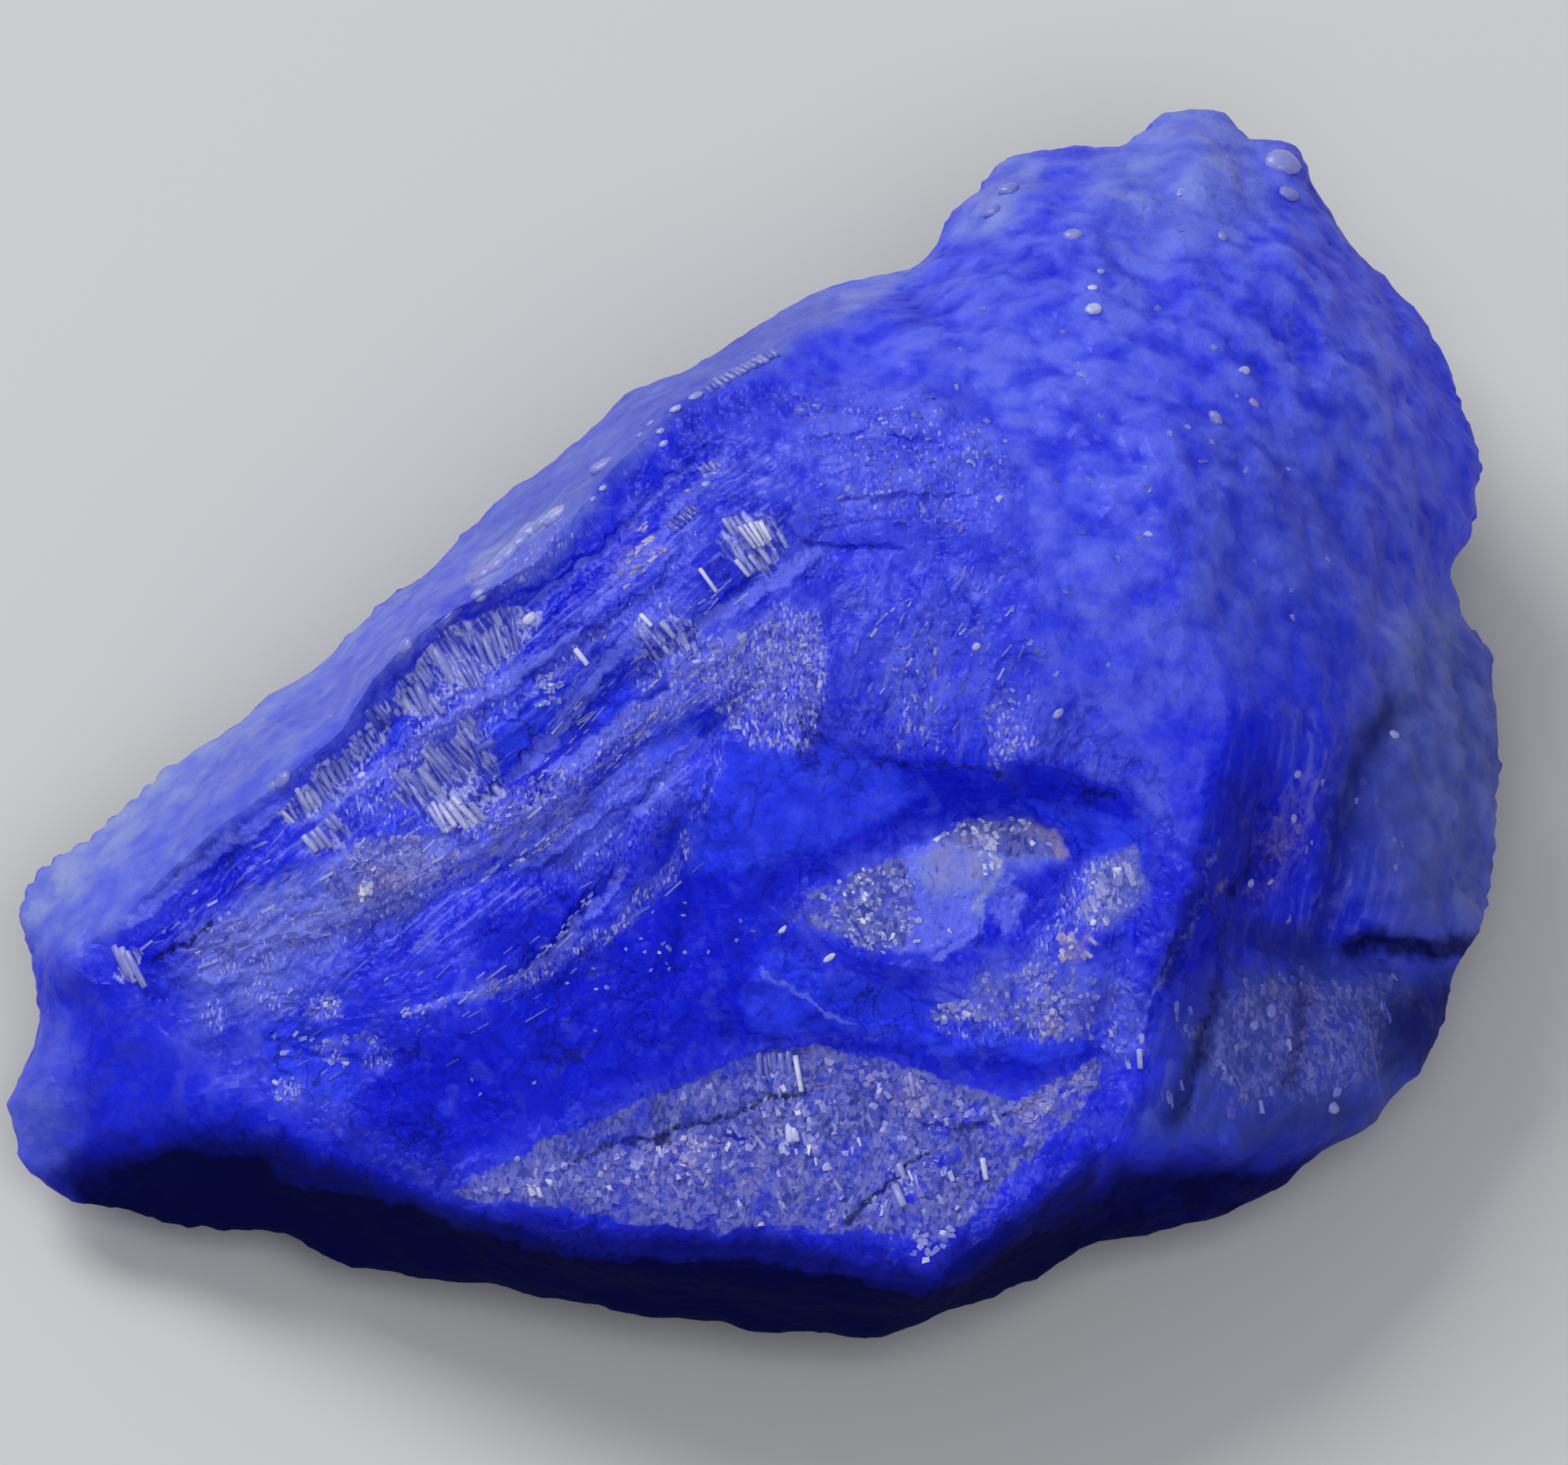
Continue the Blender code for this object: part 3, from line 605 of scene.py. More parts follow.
            (476, 905), (520, 850), (560, 800), (640, 770), (690, 770), (680, 800), (600, 866), (540, 905),
        ]),
        ("area", 0.7, 8, [(440, 940), (480, 895), (500, 890), (490, 930), (480, 955), (445, 965)]),
        ("area", 0.9, 8, [(355, 1030), (400, 975), (455, 945), (470, 965), (430, 1000), (380, 1050)]),
        ("area", 0.9, 8, [
            (500, 1000), (560, 950), (600, 915), (625, 960), (640, 1010), (590, 1050), (545, 1045),
        ]),
        ("area", 0.7, 8, [(905, 690), (925, 650), (975, 655), (1004, 690), (975, 730), (930, 715)]),
        ("area", 0.6, 9, [(800, 800), (850, 770), (900, 800), (880, 840), (820, 840)]),
        ("area", 0.6, 9, [(380, 1085), (400, 1050), (450, 1045), (440, 1075)]),
    ],
    # smooth patches of the grainy faces
    "bare": [
        ("area", 0.45, 8, [
            (690, 1474), (790, 1428), (890, 1402), (960, 1408), (930, 1432), (840, 1446), (750, 1480),
        ]),
        ("area", 0.42, 8, [(870, 1502), (940, 1478), (1010, 1494), (990, 1526), (900, 1530)]),
        ("area", 0.42, 8, [(1186, 1450), (1240, 1418), (1290, 1430), (1262, 1470), (1206, 1496)]),
        ("area", 0.42, 8, [(1060, 1470), (1120, 1440), (1150, 1462), (1110, 1500), (1070, 1500)]),
    ],
    # iron stain
    "stain": [
        ("spot", 0.9, 6, [(452, 1127), (460, 1131), (468, 1140)]),
        ("stroke", 0.8, 10, [(1296, 1046), (1322, 1054), (1340, 1066), (1348, 1088)]),
        ("area", 0.4, 14, [(1170, 1080), (1250, 1050), (1250, 1110), (1190, 1130)]),
        ("area", 0.42, 18, [(1340, 1176), (1396, 1180), (1382, 1230), (1346, 1226)]),
        ("spot", 0.6, 7, [
            (1366, 1200), (1352, 1192), (1378, 1190), (1332, 1292), (1338, 1306), (1360, 1212),
        ]),
        ("spot", 0.5, 7, [(1386, 1172), (1256, 1076), (1250, 1060), (1641, 1045)]),
        ("stroke", 0.4, 8, [(1532, 1140), (1552, 1124), (1568, 1116)]),
        ("spot", 0.4, 9, [(1612, 1116), (1586, 1120), (1600, 1136), (1652, 984), (1540, 530), (1592, 506)]),
        ("stroke", 0.35, 10, [(770, 752), (790, 700), (812, 662)]),
        ("stroke", 0.45, 7, [(822, 702), (850, 696)]),
        ("area", 0.4, 26, [(440, 1080), (520, 1060), (560, 1090), (520, 1140), (440, 1150)]),
        ("area", 0.3, 26, [(1020, 1340), (1180, 1370), (1200, 1420), (1100, 1420)]),
        ("area", 0.3, 26, [(850, 1490), (980, 1440), (1100, 1500), (900, 1540)]),
        ("area", 0.35, 20, [(1300, 1400), (1390, 1350), (1400, 1400), (1300, 1460)]),
        ("area", 0.25, 22, [(1060, 600), (1130, 610), (1160, 660), (1080, 660)]),
        ("area", 0.3, 30, [(1560, 1230), (1680, 1226), (1700, 1330), (1560, 1330)]),
        ("area", 0.34, 30, [(1570, 1040), (1660, 960), (1700, 1010), (1640, 1130), (1580, 1150)]),
        ("area", 0.25, 24, [(1770, 1240), (1850, 1240), (1840, 1330), (1770, 1330)]),
    ],
    # black-blue joints, cracks and pits, and a painted shadow under one ledge
    "dark": [
        ("stroke", 0.4, 3, [
            (150, 1172), (222, 1110), (290, 1052), (364, 1000), (440, 938), (478, 880), (560, 806),
            (610, 762), (690, 722),
        ]),
        # painted shadow under the ledge above it
        ("stroke", 0.5, 4, [(1016, 690), (1070, 695), (1120, 693)]),
        ("stroke", 0.6, 4, [(690, 1484), (800, 1443), (900, 1423), (980, 1395), (1062, 1372)]),
        ("stroke", 0.65, 4, [(1060, 1562), (1110, 1513), (1150, 1482), (1184, 1460)]),
        ("stroke", 0.5, 3, [(940, 1500), (1000, 1470), (1060, 1460)]),
        ("stroke", 0.5, 3, [(1160, 1422), (1210, 1432), (1260, 1424)]),
        ("spot", 0.7, 7, [(842, 1438), (850, 1444), (836, 1446)]),
        ("stroke", 0.5, 4, [(1100, 962), (1160, 976), (1220, 968), (1300, 990)]),
        ("stroke", 0.7, 5, [(270, 1164), (240, 1196), (186, 1216)]),
        ("stroke", 0.5, 4, [(1240, 1162), (1246, 1190), (1238, 1206)]),
        ("area", 0.46, 12, [(1005, 890), (1048, 880), (1046, 985), (1006, 990)]),
        ("area", 0.25, 16, [(940, 930), (1010, 940), (1000, 1000), (930, 990)]),
        ("stroke", 0.4, 5, [(646, 1324), (740, 1290), (820, 1244), (900, 1212)]),
        ("stroke", 0.4, 4, [(829, 1315), (846, 1280), (861, 1239)]),
        ("stroke", 0.35, 5, [(687, 1426), (736, 1386)]),
        ("stroke", 0.35, 4, [(560, 1340), (640, 1290), (700, 1230)]),
        ("stroke", 0.55, 6, [(1366, 1004), (1384, 1002), (1412, 1010)]),
        ("spot", 0.55, 4, [
            (1022, 940), (1012, 952), (1030, 960), (1036, 934), (1006, 976), (1016, 915), (1030, 900),
        ]),
        ("stroke", 0.5, 8, [(1500, 1420), (1520, 1340), (1540, 1250), (1546, 1160)]),
        ("stroke", 0.5, 8, [(1590, 1040), (1580, 1100), (1556, 1150)]),
        ("spot", 0.25, 16, [
            (1610, 340), (1600, 370), (1640, 420), (1660, 640), (1700, 680), (1790, 560), (1830, 620),
            (1660, 730),
        ]),
    ],
}


# Rungs of clear crystal across the gaps between sheets. Each row: middle of the first and of the last
# rung, how many, length and width in pixels, way in degrees above the level, paleness, stain
rungs = {
    "lift": 0.05,
    "gapStrength": 0.9,
    "gapReach": 0.55,
    "rows": [
        ((566, 849), (566, 849), 1, 76, 15, -65, 0.75, 0.0),
        ((586, 860), (606, 856), 4, 34, 7.8, -65, 0.55, 0.0),
        ((612, 832), (652, 800), 6, 50, 7.8, -70, 0.55, 0.0),
        ((516, 893), (527, 886), 2, 52, 9.1, -60, 0.7, 0.1),
        ((538, 887), (538, 887), 1, 66, 15, -63, 0.5, 0.0),
        ((555, 895), (555, 895), 1, 24, 8, -42, 0.6, 0.0),
        ((473, 914), (484, 906), 2, 28, 9.1, -50, 0.35, 0.0),
        ((449, 949), (471, 944), 2, 25, 6.5, -50, 0.6, 0.0),
        ((385, 1017), (401, 1012), 3, 36, 9.1, -58, 0.85, 0.0),
        ((409, 1004), (440, 978), 5, 44, 9.1, -62, 0.42, 0.1),
        ((362, 1032), (362, 1032), 1, 40, 6, -45, 0.8, 0.0),
        ((394, 1070), (410, 1062), 3, 28, 9.1, -50, 0.75, 0.0),
        ((420, 1046), (428, 1042), 2, 18, 10.4, -40, 0.6, 0.0),
        ((511, 995), (524, 990), 2, 40, 9.1, -50, 0.5, 0.0),
        ((544, 988), (544, 988), 1, 66, 12, -50, 0.85, 0.0),
        ((548, 966), (556, 962), 2, 40, 9.1, -50, 0.7, 0.0),
        ((533, 1004), (533, 1004), 1, 44, 5, -50, 0.5, 0.0),
        ((566, 985), (590, 958), 5, 56, 6.5, -50, 0.35, 0.1),
        ((553, 1040), (566, 1032), 3, 40, 7.8, -56, 0.75, 0.0),
        ((580, 1034), (598, 1022), 3, 46, 10.4, -52, 0.75, 0.0),
        ((615, 1010), (628, 1000), 2, 34, 11.7, -52, 0.75, 0.0),
        ((736, 832), (736, 832), 1, 25, 9, -50, 1.0, 0.0),
        ((569, 784), (569, 784), 1, 42, 13, 48, 0.35, 0.0),
        ((508, 1016), (508, 1016), 1, 33, 6, -45, 0.6, 0.25),
        ((596, 913), (586, 942), 2, 23, 9.1, -45, 0.6, 0.35),
        ((615, 945), (615, 945), 1, 22, 9, 30, 0.45, 0.1),
        ((582, 803), (582, 803), 1, 16, 8, -20, 0.8, 0.0),
        ((898, 493), (981, 448), 13, 13, 9.1, -60, 0.55, 0.15),
        ((923, 668), (939, 665), 3, 24, 6.5, -62, 0.65, 0.0),
        ((947, 681), (971, 674), 5, 30, 6.5, -58, 1.0, 0.0),
        ((897, 737), (897, 737), 1, 32, 7, -60, 1.0, 0.0),
        ((941, 720), (970, 705), 3, 26, 6.5, -52, 0.9, 0.0),
        ((819, 787), (819, 787), 1, 20, 6, -50, 1.0, 0.0),
        ((847, 799), (843, 823), 2, 24, 7.8, -55, 0.9, 0.0),
        ((888, 596), (912, 590), 4, 14, 6.5, -55, 0.5, 0.0),
        ((852, 668), (880, 645), 6, 16, 5.2, -50, 0.35, 0.0),
        ((154, 1218), (172, 1230), 3, 46, 11, -58, 0.6, 0.2),
        ((1012, 1362), (1012, 1362), 1, 44, 7, -86, 0.95, 0.05),
        ((962, 1352), (1000, 1350), 5, 30, 8, -86, 0.36, 0.2),
        ((1000, 1438), (1008, 1436), 2, 26, 10.4, -84, 0.95, 0.0),
        ((1157, 1376), (1157, 1376), 1, 34, 8, -84, 0.6, 0.3),
        ((1247, 1484), (1247, 1484), 1, 30, 9, -82, 0.85, 0.0),
        ((1144, 1490), (1140, 1516), 2, 30, 10.4, -68, 0.8, 0.05),
        ((1445, 1342), (1445, 1342), 1, 26, 9, -86, 0.7, 0.2),
        ((1264, 1420), (1264, 1420), 1, 26, 6, -64, 0.85, 0.0),
    ],
}

# Rounded lumps that catch the light: middle, length and width in pixels, paleness, stain
beads = {
    "height": 0.55,
    "unevenness": 0.1,
    "rows": [
        ((514, 819), 25, 20, 0.5, 0.0),
        ((671, 784), 21, 14, 0.9, 0.0),
        ((458, 983), 12, 9, 0.85, 0.0),
        ((419, 911), 20, 10, 0.45, 0.0),
        ((358, 989), 26, 20, 0.5, 0.0),
        ((345, 999), 20, 16, 0.45, 0.0),
        ((608, 754), 24, 20, 0.6, 0.1),
        ((614, 728), 38, 28, 0.6, 0.0),
        ((628, 718), 38, 28, 0.62, 0.0),
        ((642, 704), 42, 30, 0.66, 0.0),
        ((656, 690), 40, 28, 0.62, 0.0),
        ((672, 676), 44, 30, 0.66, 0.0),
        ((688, 664), 40, 26, 0.62, 0.0),
        ((706, 654), 40, 26, 0.75, 0.0),
        ((764, 591), 40, 24, 0.6, 0.0),
        ((764, 619), 12, 9, 0.75, 0.0),
        ((751, 633), 10, 8, 0.6, 0.0),
        ((825, 537), 13, 10, 0.65, 0.1),
        ((837, 547), 12, 10, 0.7, 0.1),
        ((841, 563), 14, 10, 0.7, 0.15),
        ((812, 552), 12, 9, 0.5, 0.1),
        ((856, 518), 17, 12, 0.75, 0.15),
        ((882, 502), 22, 11, 0.7, 0.1),
        ((895, 614), 14, 11, 0.7, 0.25),
        ((872, 623), 10, 8, 0.65, 0.25),
        ((843, 698), 7, 6, 0.8, 0.8),
        ((829, 702), 6, 5, 0.8, 0.8),
        ((660, 780), 10, 8, 0.6, 0.0),
        ((1386, 392), 24, 19, 0.85, 0.0),
        ((1361, 298), 28, 24, 0.6, 0.05),
        ((1385, 365), 14, 11, 0.9, 0.0),
        ((1396, 344), 12, 9, 0.7, 0.0),
        ((1278, 240), 30, 26, 0.5, 0.0),
        ((1258, 268), 26, 20, 0.45, 0.0),
        ((1550, 300), 14, 18, 0.5, 0.1),
        ((1578, 470), 20, 13, 0.75, 0.2),
        ((1541, 530), 16, 24, 0.5, 0.35),
        ((1590, 512), 14, 16, 0.35, 0.6),
        ((1626, 206), 50, 44, 0.62, 0.0),
        ((1634, 246), 30, 26, 0.5, 0.0),
        ((1645, 982), 13, 12, 0.6, 0.25),
        ((1640, 1038), 13, 12, 0.65, 0.1),
        ((1768, 932), 14, 16, 0.7, 0.0),
        ((1586, 1120), 12, 10, 0.5, 0.45),
        ((1610, 1118), 12, 9, 0.55, 0.5),
        ((1695, 1385), 16, 14, 0.45, 0.1),
        ((1690, 1405), 18, 22, 0.6, 0.1),
        ((1590, 1300), 16, 14, 0.5, 0.1),
        ((1612, 1282), 22, 18, 0.45, 0.1),
        ((1386, 1170), 10, 8, 1.0, 0.0),
        ((994, 1178), 18, 7, 0.85, 0.0),
        ((1051, 1215), 19, 8, 0.9, 0.1),
        ((1238, 820), 12, 10, 0.8, 0.0),
        ((1342, 905), 18, 10, 0.7, 0.1),
        ((656, 1470), 9, 8, 0.6, 0.0),
    ],
}


studio = {
    # name, where it stands from the stone, side in metres, watts, colour
    "lamps": [
        ("keyLamp", (-0.34, 0.36, 0.5), 0.34, 3.1, (1.0, 0.99, 0.97)),
        ("fillLamp", (0.1, -0.45, 0.7), 0.5, 2.8, (0.96, 0.98, 1.0)),
    ],
    "sky": (0.86, 0.9, 1.0, 1),
    "skyStrength": 0.26,
    "floorHalf": 1.5,
    "paper": (0.62, 0.62, 0.62, 1),
    "paperRoughness": 0.9,
}


def cameraAndLight():
    camera = bpy.data.cameras.new("camera")
    camera.lens = camera.sensor_width * shot["distance"] / shot["pictureWidth"]
    camera.clip_end = 10
    cameraObject = bpy.data.objects.new("camera", camera)
    cameraObject.location = Vector(eye)
    cameraObject.rotation_mode = "QUATERNION"
    cameraObject.rotation_quaternion = Vector(-toEye).to_track_quat("-Z", "Y")
    bpy.context.scene.collection.objects.link(cameraObject)
    bpy.context.scene.camera = cameraObject

    for name, place, side, watts, colour in studio["lamps"]:
        lamp = bpy.data.lights.new(name, "AREA")
        lamp.size = side
        lamp.energy = watts
        lamp.color = colour
        lampObject = bpy.data.objects.new(name, lamp)
        lampObject.location = place
        lampObject.rotation_mode = "QUATERNION"
        lampObject.rotation_quaternion = (-Vector(place)).to_track_quat("-Z", "Y")
        bpy.context.scene.collection.objects.link(lampObject)

    world = bpy.data.worlds.new("studio")
    world.use_nodes = True
    sky = world.node_tree.nodes["Background"].inputs
    sky["Color"].default_value = studio["sky"]
    sky["Strength"].default_value = studio["skyStrength"]
    bpy.context.scene.world = world
    bpy.context.scene.view_settings.view_transform = "Standard"

    sheet = bmesh.new()
    bmesh.ops.create_grid(sheet, x_segments=1, y_segments=1, size=studio["floorHalf"])
    mesh = bpy.data.meshes.new("floor")
    sheet.to_mesh(mesh)
    sheet.free()
    floor = bpy.data.objects.new("floor", mesh)
    floor.location.z = cadLow.z
    bpy.context.scene.collection.objects.link(floor)
    paper = bpy.data.materials.new("palePaper")
    paper.use_nodes = True
    sheetLook = paper.node_tree.nodes["Principled BSDF"].inputs
    sheetLook["Base Color"].default_value = studio["paper"]
    sheetLook["Roughness"].default_value = studio["paperRoughness"]
    mesh.materials.append(paper)
    print("camera, lamps and floor stand")


def edgeLimits(rough):
    # how long an edge may be at each vertex
    points = np.array([vert.co for vert in rough.verts])
    facing = np.array([vert.normal for vert in rough.verts]) @ toEye
    fine = insideOf(inPicture(points), stone["fineArea"], 20)
    limits = np.where(fine > 0.5, stone["fineEdge"], stone["plainEdge"])
    return np.where(facing < -0.05, stone["hiddenEdge"], limits) / 1000


def dividedSkin():
    # a copy of the solid, cut into small triangles and smoothed between its drawn edges
    rough = bmesh.new()
    rough.from_mesh(frame["nodes"]["sapphire"].data)
    bmesh.ops.remove_doubles(rough, verts=rough.verts, dist=1e-6)
    for _ in range(5):
        rough.normal_update()
        rough.verts.index_update()
        limits = edgeLimits(rough)
        long = [e for e in rough.edges if e.calc_length() > min(limits[v.index] for v in e.verts)]
        if not long:
            break
        bmesh.ops.subdivide_edges(rough, edges=long, cuts=1)
        bmesh.ops.triangulate(rough, faces=[f for f in rough.faces if len(f.verts) > 3])
    place = inPicture(np.array([vert.co for vert in rough.verts]))
    nearest = np.min([alongLine(place, line)[0] for line in faceEdges.values()], axis=0)
    low = cadLow.z + 1e-5
    free = [v for v, gap in zip(rough.verts, nearest) if gap > stone["heldReach"] and v.co.z > low]
    for _ in range(stone["smoothing"]):
        bmesh.ops.smooth_vert(
            rough, verts=free, factor=0.5, use_axis_x=True, use_axis_y=True, use_axis_z=True,
        )
    mesh = bpy.data.meshes.new("brokenStone")
    rough.to_mesh(mesh)
    rough.free()
    mesh.validate()
    print("skin divided into", len(mesh.polygons), "triangles")
    return mesh


def meshPoints(mesh):
    points = np.empty(len(mesh.vertices) * 3)
    mesh.vertices.foreach_get("co", points)
    return points.reshape(-1, 3)


def meshNormals(mesh):
    normals = np.empty(len(mesh.vertices) * 3)
    mesh.vertex_normals.foreach_get("vector", normals)
    return normals.reshape(-1, 3)


def movePoints(mesh, points):
    mesh.vertices.foreach_set("co", points.ravel())
    mesh.update()


def drawnMm(place, way, stretch):
    # places in the picture as mm along and across a way, shortened along it
    turn = math.radians(way)
    along = place @ np.array((math.cos(turn), -math.sin(turn)))
    across = place @ np.array((math.sin(turn), math.cos(turn)))
    return np.stack((along / stretch, across, np.zeros(len(place))), axis=1) * 1000 / pixelsPerMetre


def chipsOver(place, ragged, inMm, fine):
    # heights in mm of small broken faces, drawn out along the sheets, and the shade of each
    height = np.zeros(len(place))
    shade = np.full(len(place), 0.5)
    plain = fine
    for outline, way, _, _ in stone["sheets"]:
        amount = insideOf(ragged, outline, 14) * fine
        inside = amount > 0.02
        drawn = drawnMm(ragged[inside], way, 2.6)
        for seed, (size, depth) in enumerate(stone["chips"]):
            slope, own = chipsIn(drawn, size * 0.7, seed + way)
            height[inside] += depth * amount[inside] * (slope + 0.7 * own)
            shade[inside] = np.where(amount[inside] > 0.5, 0.6 * shade[inside] + 0.4 * own, shade[inside])
        plain = np.minimum(plain, 1 - amount)
    rest = plain > 0.02
    for seed, (size, depth) in enumerate(stone["chips"]):
        slope, own = chipsIn(inMm[rest], size, seed + 1)
        height[rest] += depth * plain[rest] * (slope + 0.4 * own)
        shade[rest] = np.where(plain[rest] > 0.5, 0.6 * shade[rest] + 0.4 * own, shade[rest])
    return height, shade


def sheetRelief(place, ragged):
    # mm towards the camera: ledges, sheets that end one behind another, and the gaps of the rungs
    towards = np.zeros(len(place))
    for line, drop, run in stone["ledges"]:
        distance, hand, share = alongLine(ragged, line)
        past = hand * distance
        fade = ease(5 * share) * ease(5 * (1 - share))
        towards -= drop * ease(0.5 + past / 6) * (1 - ease(past / run)) * fade
    for outline, way, spacing, height in stone["sheets"]:
        turn = math.radians(way)
        across = place @ np.array((math.sin(turn), math.cos(turn)))
        across += 26 * drawnNoise(place, way, 200, 60, 3.0) + 9 * drawnNoise(place, way, 50, 16, 5.0)
        amount = insideOf(ragged, outline, 26) * (0.4 + 1.1 * drawnNoise(place, way, 90, 40, 9.0))
        amount = height * np.clip(amount, 0, 1.3)
        towards += amount * (sheetEnds(across, spacing) - 0.5)
        towards += 0.4 * amount * (sheetEnds(across, spacing / 2.7) - 0.5)
    gaps = painted(place, rungGaps())
    return towards - stone["gapDepth"] * gaps, gaps


def seamsOver(inMm, wander, fine):
    # how much each point lies in a seam of the finely broken faces
    seams = np.zeros(len(inMm))
    near = fine > 0.02
    wide = seamsIn(inMm[near] + wander[near, :1] / 30, 1.5, 4)
    thin = seamsIn(inMm[near] + wander[near, 1:] / 40, 0.6, 8)
    gaping = ease(2.4 * noiseIn(inMm[near], 1.8, 12) + 0.3)
    broad, narrow = ease(1 - wide / 0.1) * gaping, 0.7 * ease(1 - thin / 0.12) * gaping ** 2
    seams[near] = np.maximum(broad, narrow) * fine[near]
    return seams


def lumpRelief(inMm, wander, domed, flat):
    # mm outwards: scoops, lumps, domes and grain, calmer on flat faces, and the creases between domes
    calm = 1 - 0.75 * flat
    outwards = stone["scoopDepth"] * (scoopsIn(inMm, stone["scoopSize"]) - 0.25) * calm
    outwards += stone["lumpDepth"] * 0.5 * noiseIn(inMm, stone["lumpSize"], 6) * calm
    outwards += stone["lumpDepth"] * 0.4 * (scoopsIn(inMm, 0.8, 2) - 0.25) * calm
    creases = np.zeros(len(inMm))
    for seed, (size, height, share) in enumerate(stone["domeLayers"], 3):
        crease = scoopsIn(inMm + wander[:, :1] / 50, size, seed)
        outwards += height * domed * (0.3 - crease)
        creases += crease * share
    outwards += stone["grainDepth"] * noiseIn(inMm, stone["grainSize"], 7)
    outwards += stone["grainDepth"] * 0.7 * noiseIn(inMm, stone["grainSize"] / 2.2, 8)
    outwards += stone["sugarDepth"] * flat * (scoopsIn(inMm, 0.42, 5) - 0.3)
    return outwards, creases


def broken(mesh):
    # presses the ledges, sheets, chips, scoops and grain into the skin
    points = meshPoints(mesh)
    inMm = points * 1000
    place = inPicture(points)
    facing = ease(3 * (meshNormals(mesh) @ toEye) + 0.1)
    lifted = ease((points[:, 2] - cadLow.z) * 1000 / 0.8)
    fine = insideOf(place, stone["fineArea"], 24) * facing
    wander = sum(
        np.stack((noiseIn(inMm, size, seed), noiseIn(inMm, size, seed + 1)), axis=1) * reach
        for size, reach, seed in stone["wander"]
    )
    ragged = place + wander

    towards, gaps = sheetRelief(place, ragged)
    points += (towards * facing * lifted / 1000)[:, None] * toEye
    movePoints(mesh, points)

    flat = painted(ragged, finishes["sugar"]) * facing
    smooth = np.maximum(painted(ragged, finishes["deep"]), painted(ragged, finishes["royal"])) * facing
    domed = np.maximum(painted(place, finishes["domes"]) * facing, 0.6 * (1 - facing))
    outwards, creases = lumpRelief(inMm, wander, domed, flat)
    chipHeight, chipShade = chipsOver(place, ragged, inMm, fine)
    seams = seamsOver(inMm, wander, fine)
    outwards += chipHeight * (1 - 0.75 * smooth)
    outwards -= stone["crackDepth"] * (painted(ragged, finishes["dark"]) * facing + seams)
    points += (outwards * lifted / 1000)[:, None] * meshNormals(mesh)
    movePoints(mesh, points)
    return ragged, {"chip": chipShade, "seam": seams, "gap": gaps * facing, "crease": creases}


def brokenStone():
    mesh = dividedSkin()
    ragged, worked = broken(mesh)
    normals = meshNormals(mesh)
    facing = ease(4 * (normals @ toEye) + 0.15)
    aside = ease(2 * (normals @ toEye) + 1.7)
    for name, marks in finishes.items():
        worked[name] = painted(ragged, marks) * (aside if name == "underShade" else facing)
    # painted shade: faces that look down get the blue-black as well
    worked["underShade"] = np.maximum(worked["underShade"], 0.72 * ease(-1.5 * normals[:, 2] - 0.1))
    worked["sugar"] *= 1 - worked.pop("bare")
    for name, amount in worked.items():
        mesh.attributes.new(name, "FLOAT", "POINT").data.foreach_set("value", amount)
    piece = bpy.data.objects.new("brokenStone", mesh)
    bpy.context.scene.collection.objects.link(piece)
    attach(piece, "root")
    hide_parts("sapphire")
    print("stone broken and marked")
    return piece


def newNode(tree, kind, **settings):
    # a node set out after the others, left to right in rows
    node = tree.nodes.new(kind)
    row, column = divmod(len(tree.nodes), 12)
    node.location = (220 * column, -320 * row)
    for name, value in settings.items():
        setattr(node, name, value)
    return node


def feed(tree, socket, value):
    # an input takes a socket or a plain value
    if isinstance(value, bpy.types.NodeSocket):
        tree.links.new(value, socket)
    else:
        socket.default_value = value


def mixed(tree, share, first, second, blend="MIX"):
    node = newNode(tree, "ShaderNodeMix", data_type="RGBA", blend_type=blend, clamp_factor=True)
    for number, value in ((0, share), (6, first), (7, second)):
        feed(tree, node.inputs[number], value)
    return node.outputs[2]


def reckon(tree, how, first, second, third=0.0):
    node = newNode(tree, "ShaderNodeMath", operation=how)
    for socket, value in zip(node.inputs, (first, second, third)):
        feed(tree, socket, value)
    return node.outputs[0]


def times(tree, first, second):
    return reckon(tree, "MULTIPLY", first, second)


def scaled(tree, value, factor, added):
    return reckon(tree, "MULTIPLY_ADD", value, factor, added)


def stepped(tree, value, limits):
    # 0 at the first limit, 1 at the second, smooth between
    node = newNode(tree, "ShaderNodeMapRange", interpolation_type="SMOOTHSTEP")
    feed(tree, node.inputs["Value"], value)
    node.inputs["From Min"].default_value, node.inputs["From Max"].default_value = limits
    return node.outputs["Result"]


def vectors(tree, how, first, second=None, third=None):
    node = newNode(tree, "ShaderNodeVectorMath", operation=how)
    for socket, value in zip(node.inputs, (first, second, third)):
        if value is not None:
            feed(tree, socket, value)
    return node


def marked(tree, name):
    # an attribute of the mesh
    return newNode(tree, "ShaderNodeAttribute", attribute_name=name).outputs["Fac"]


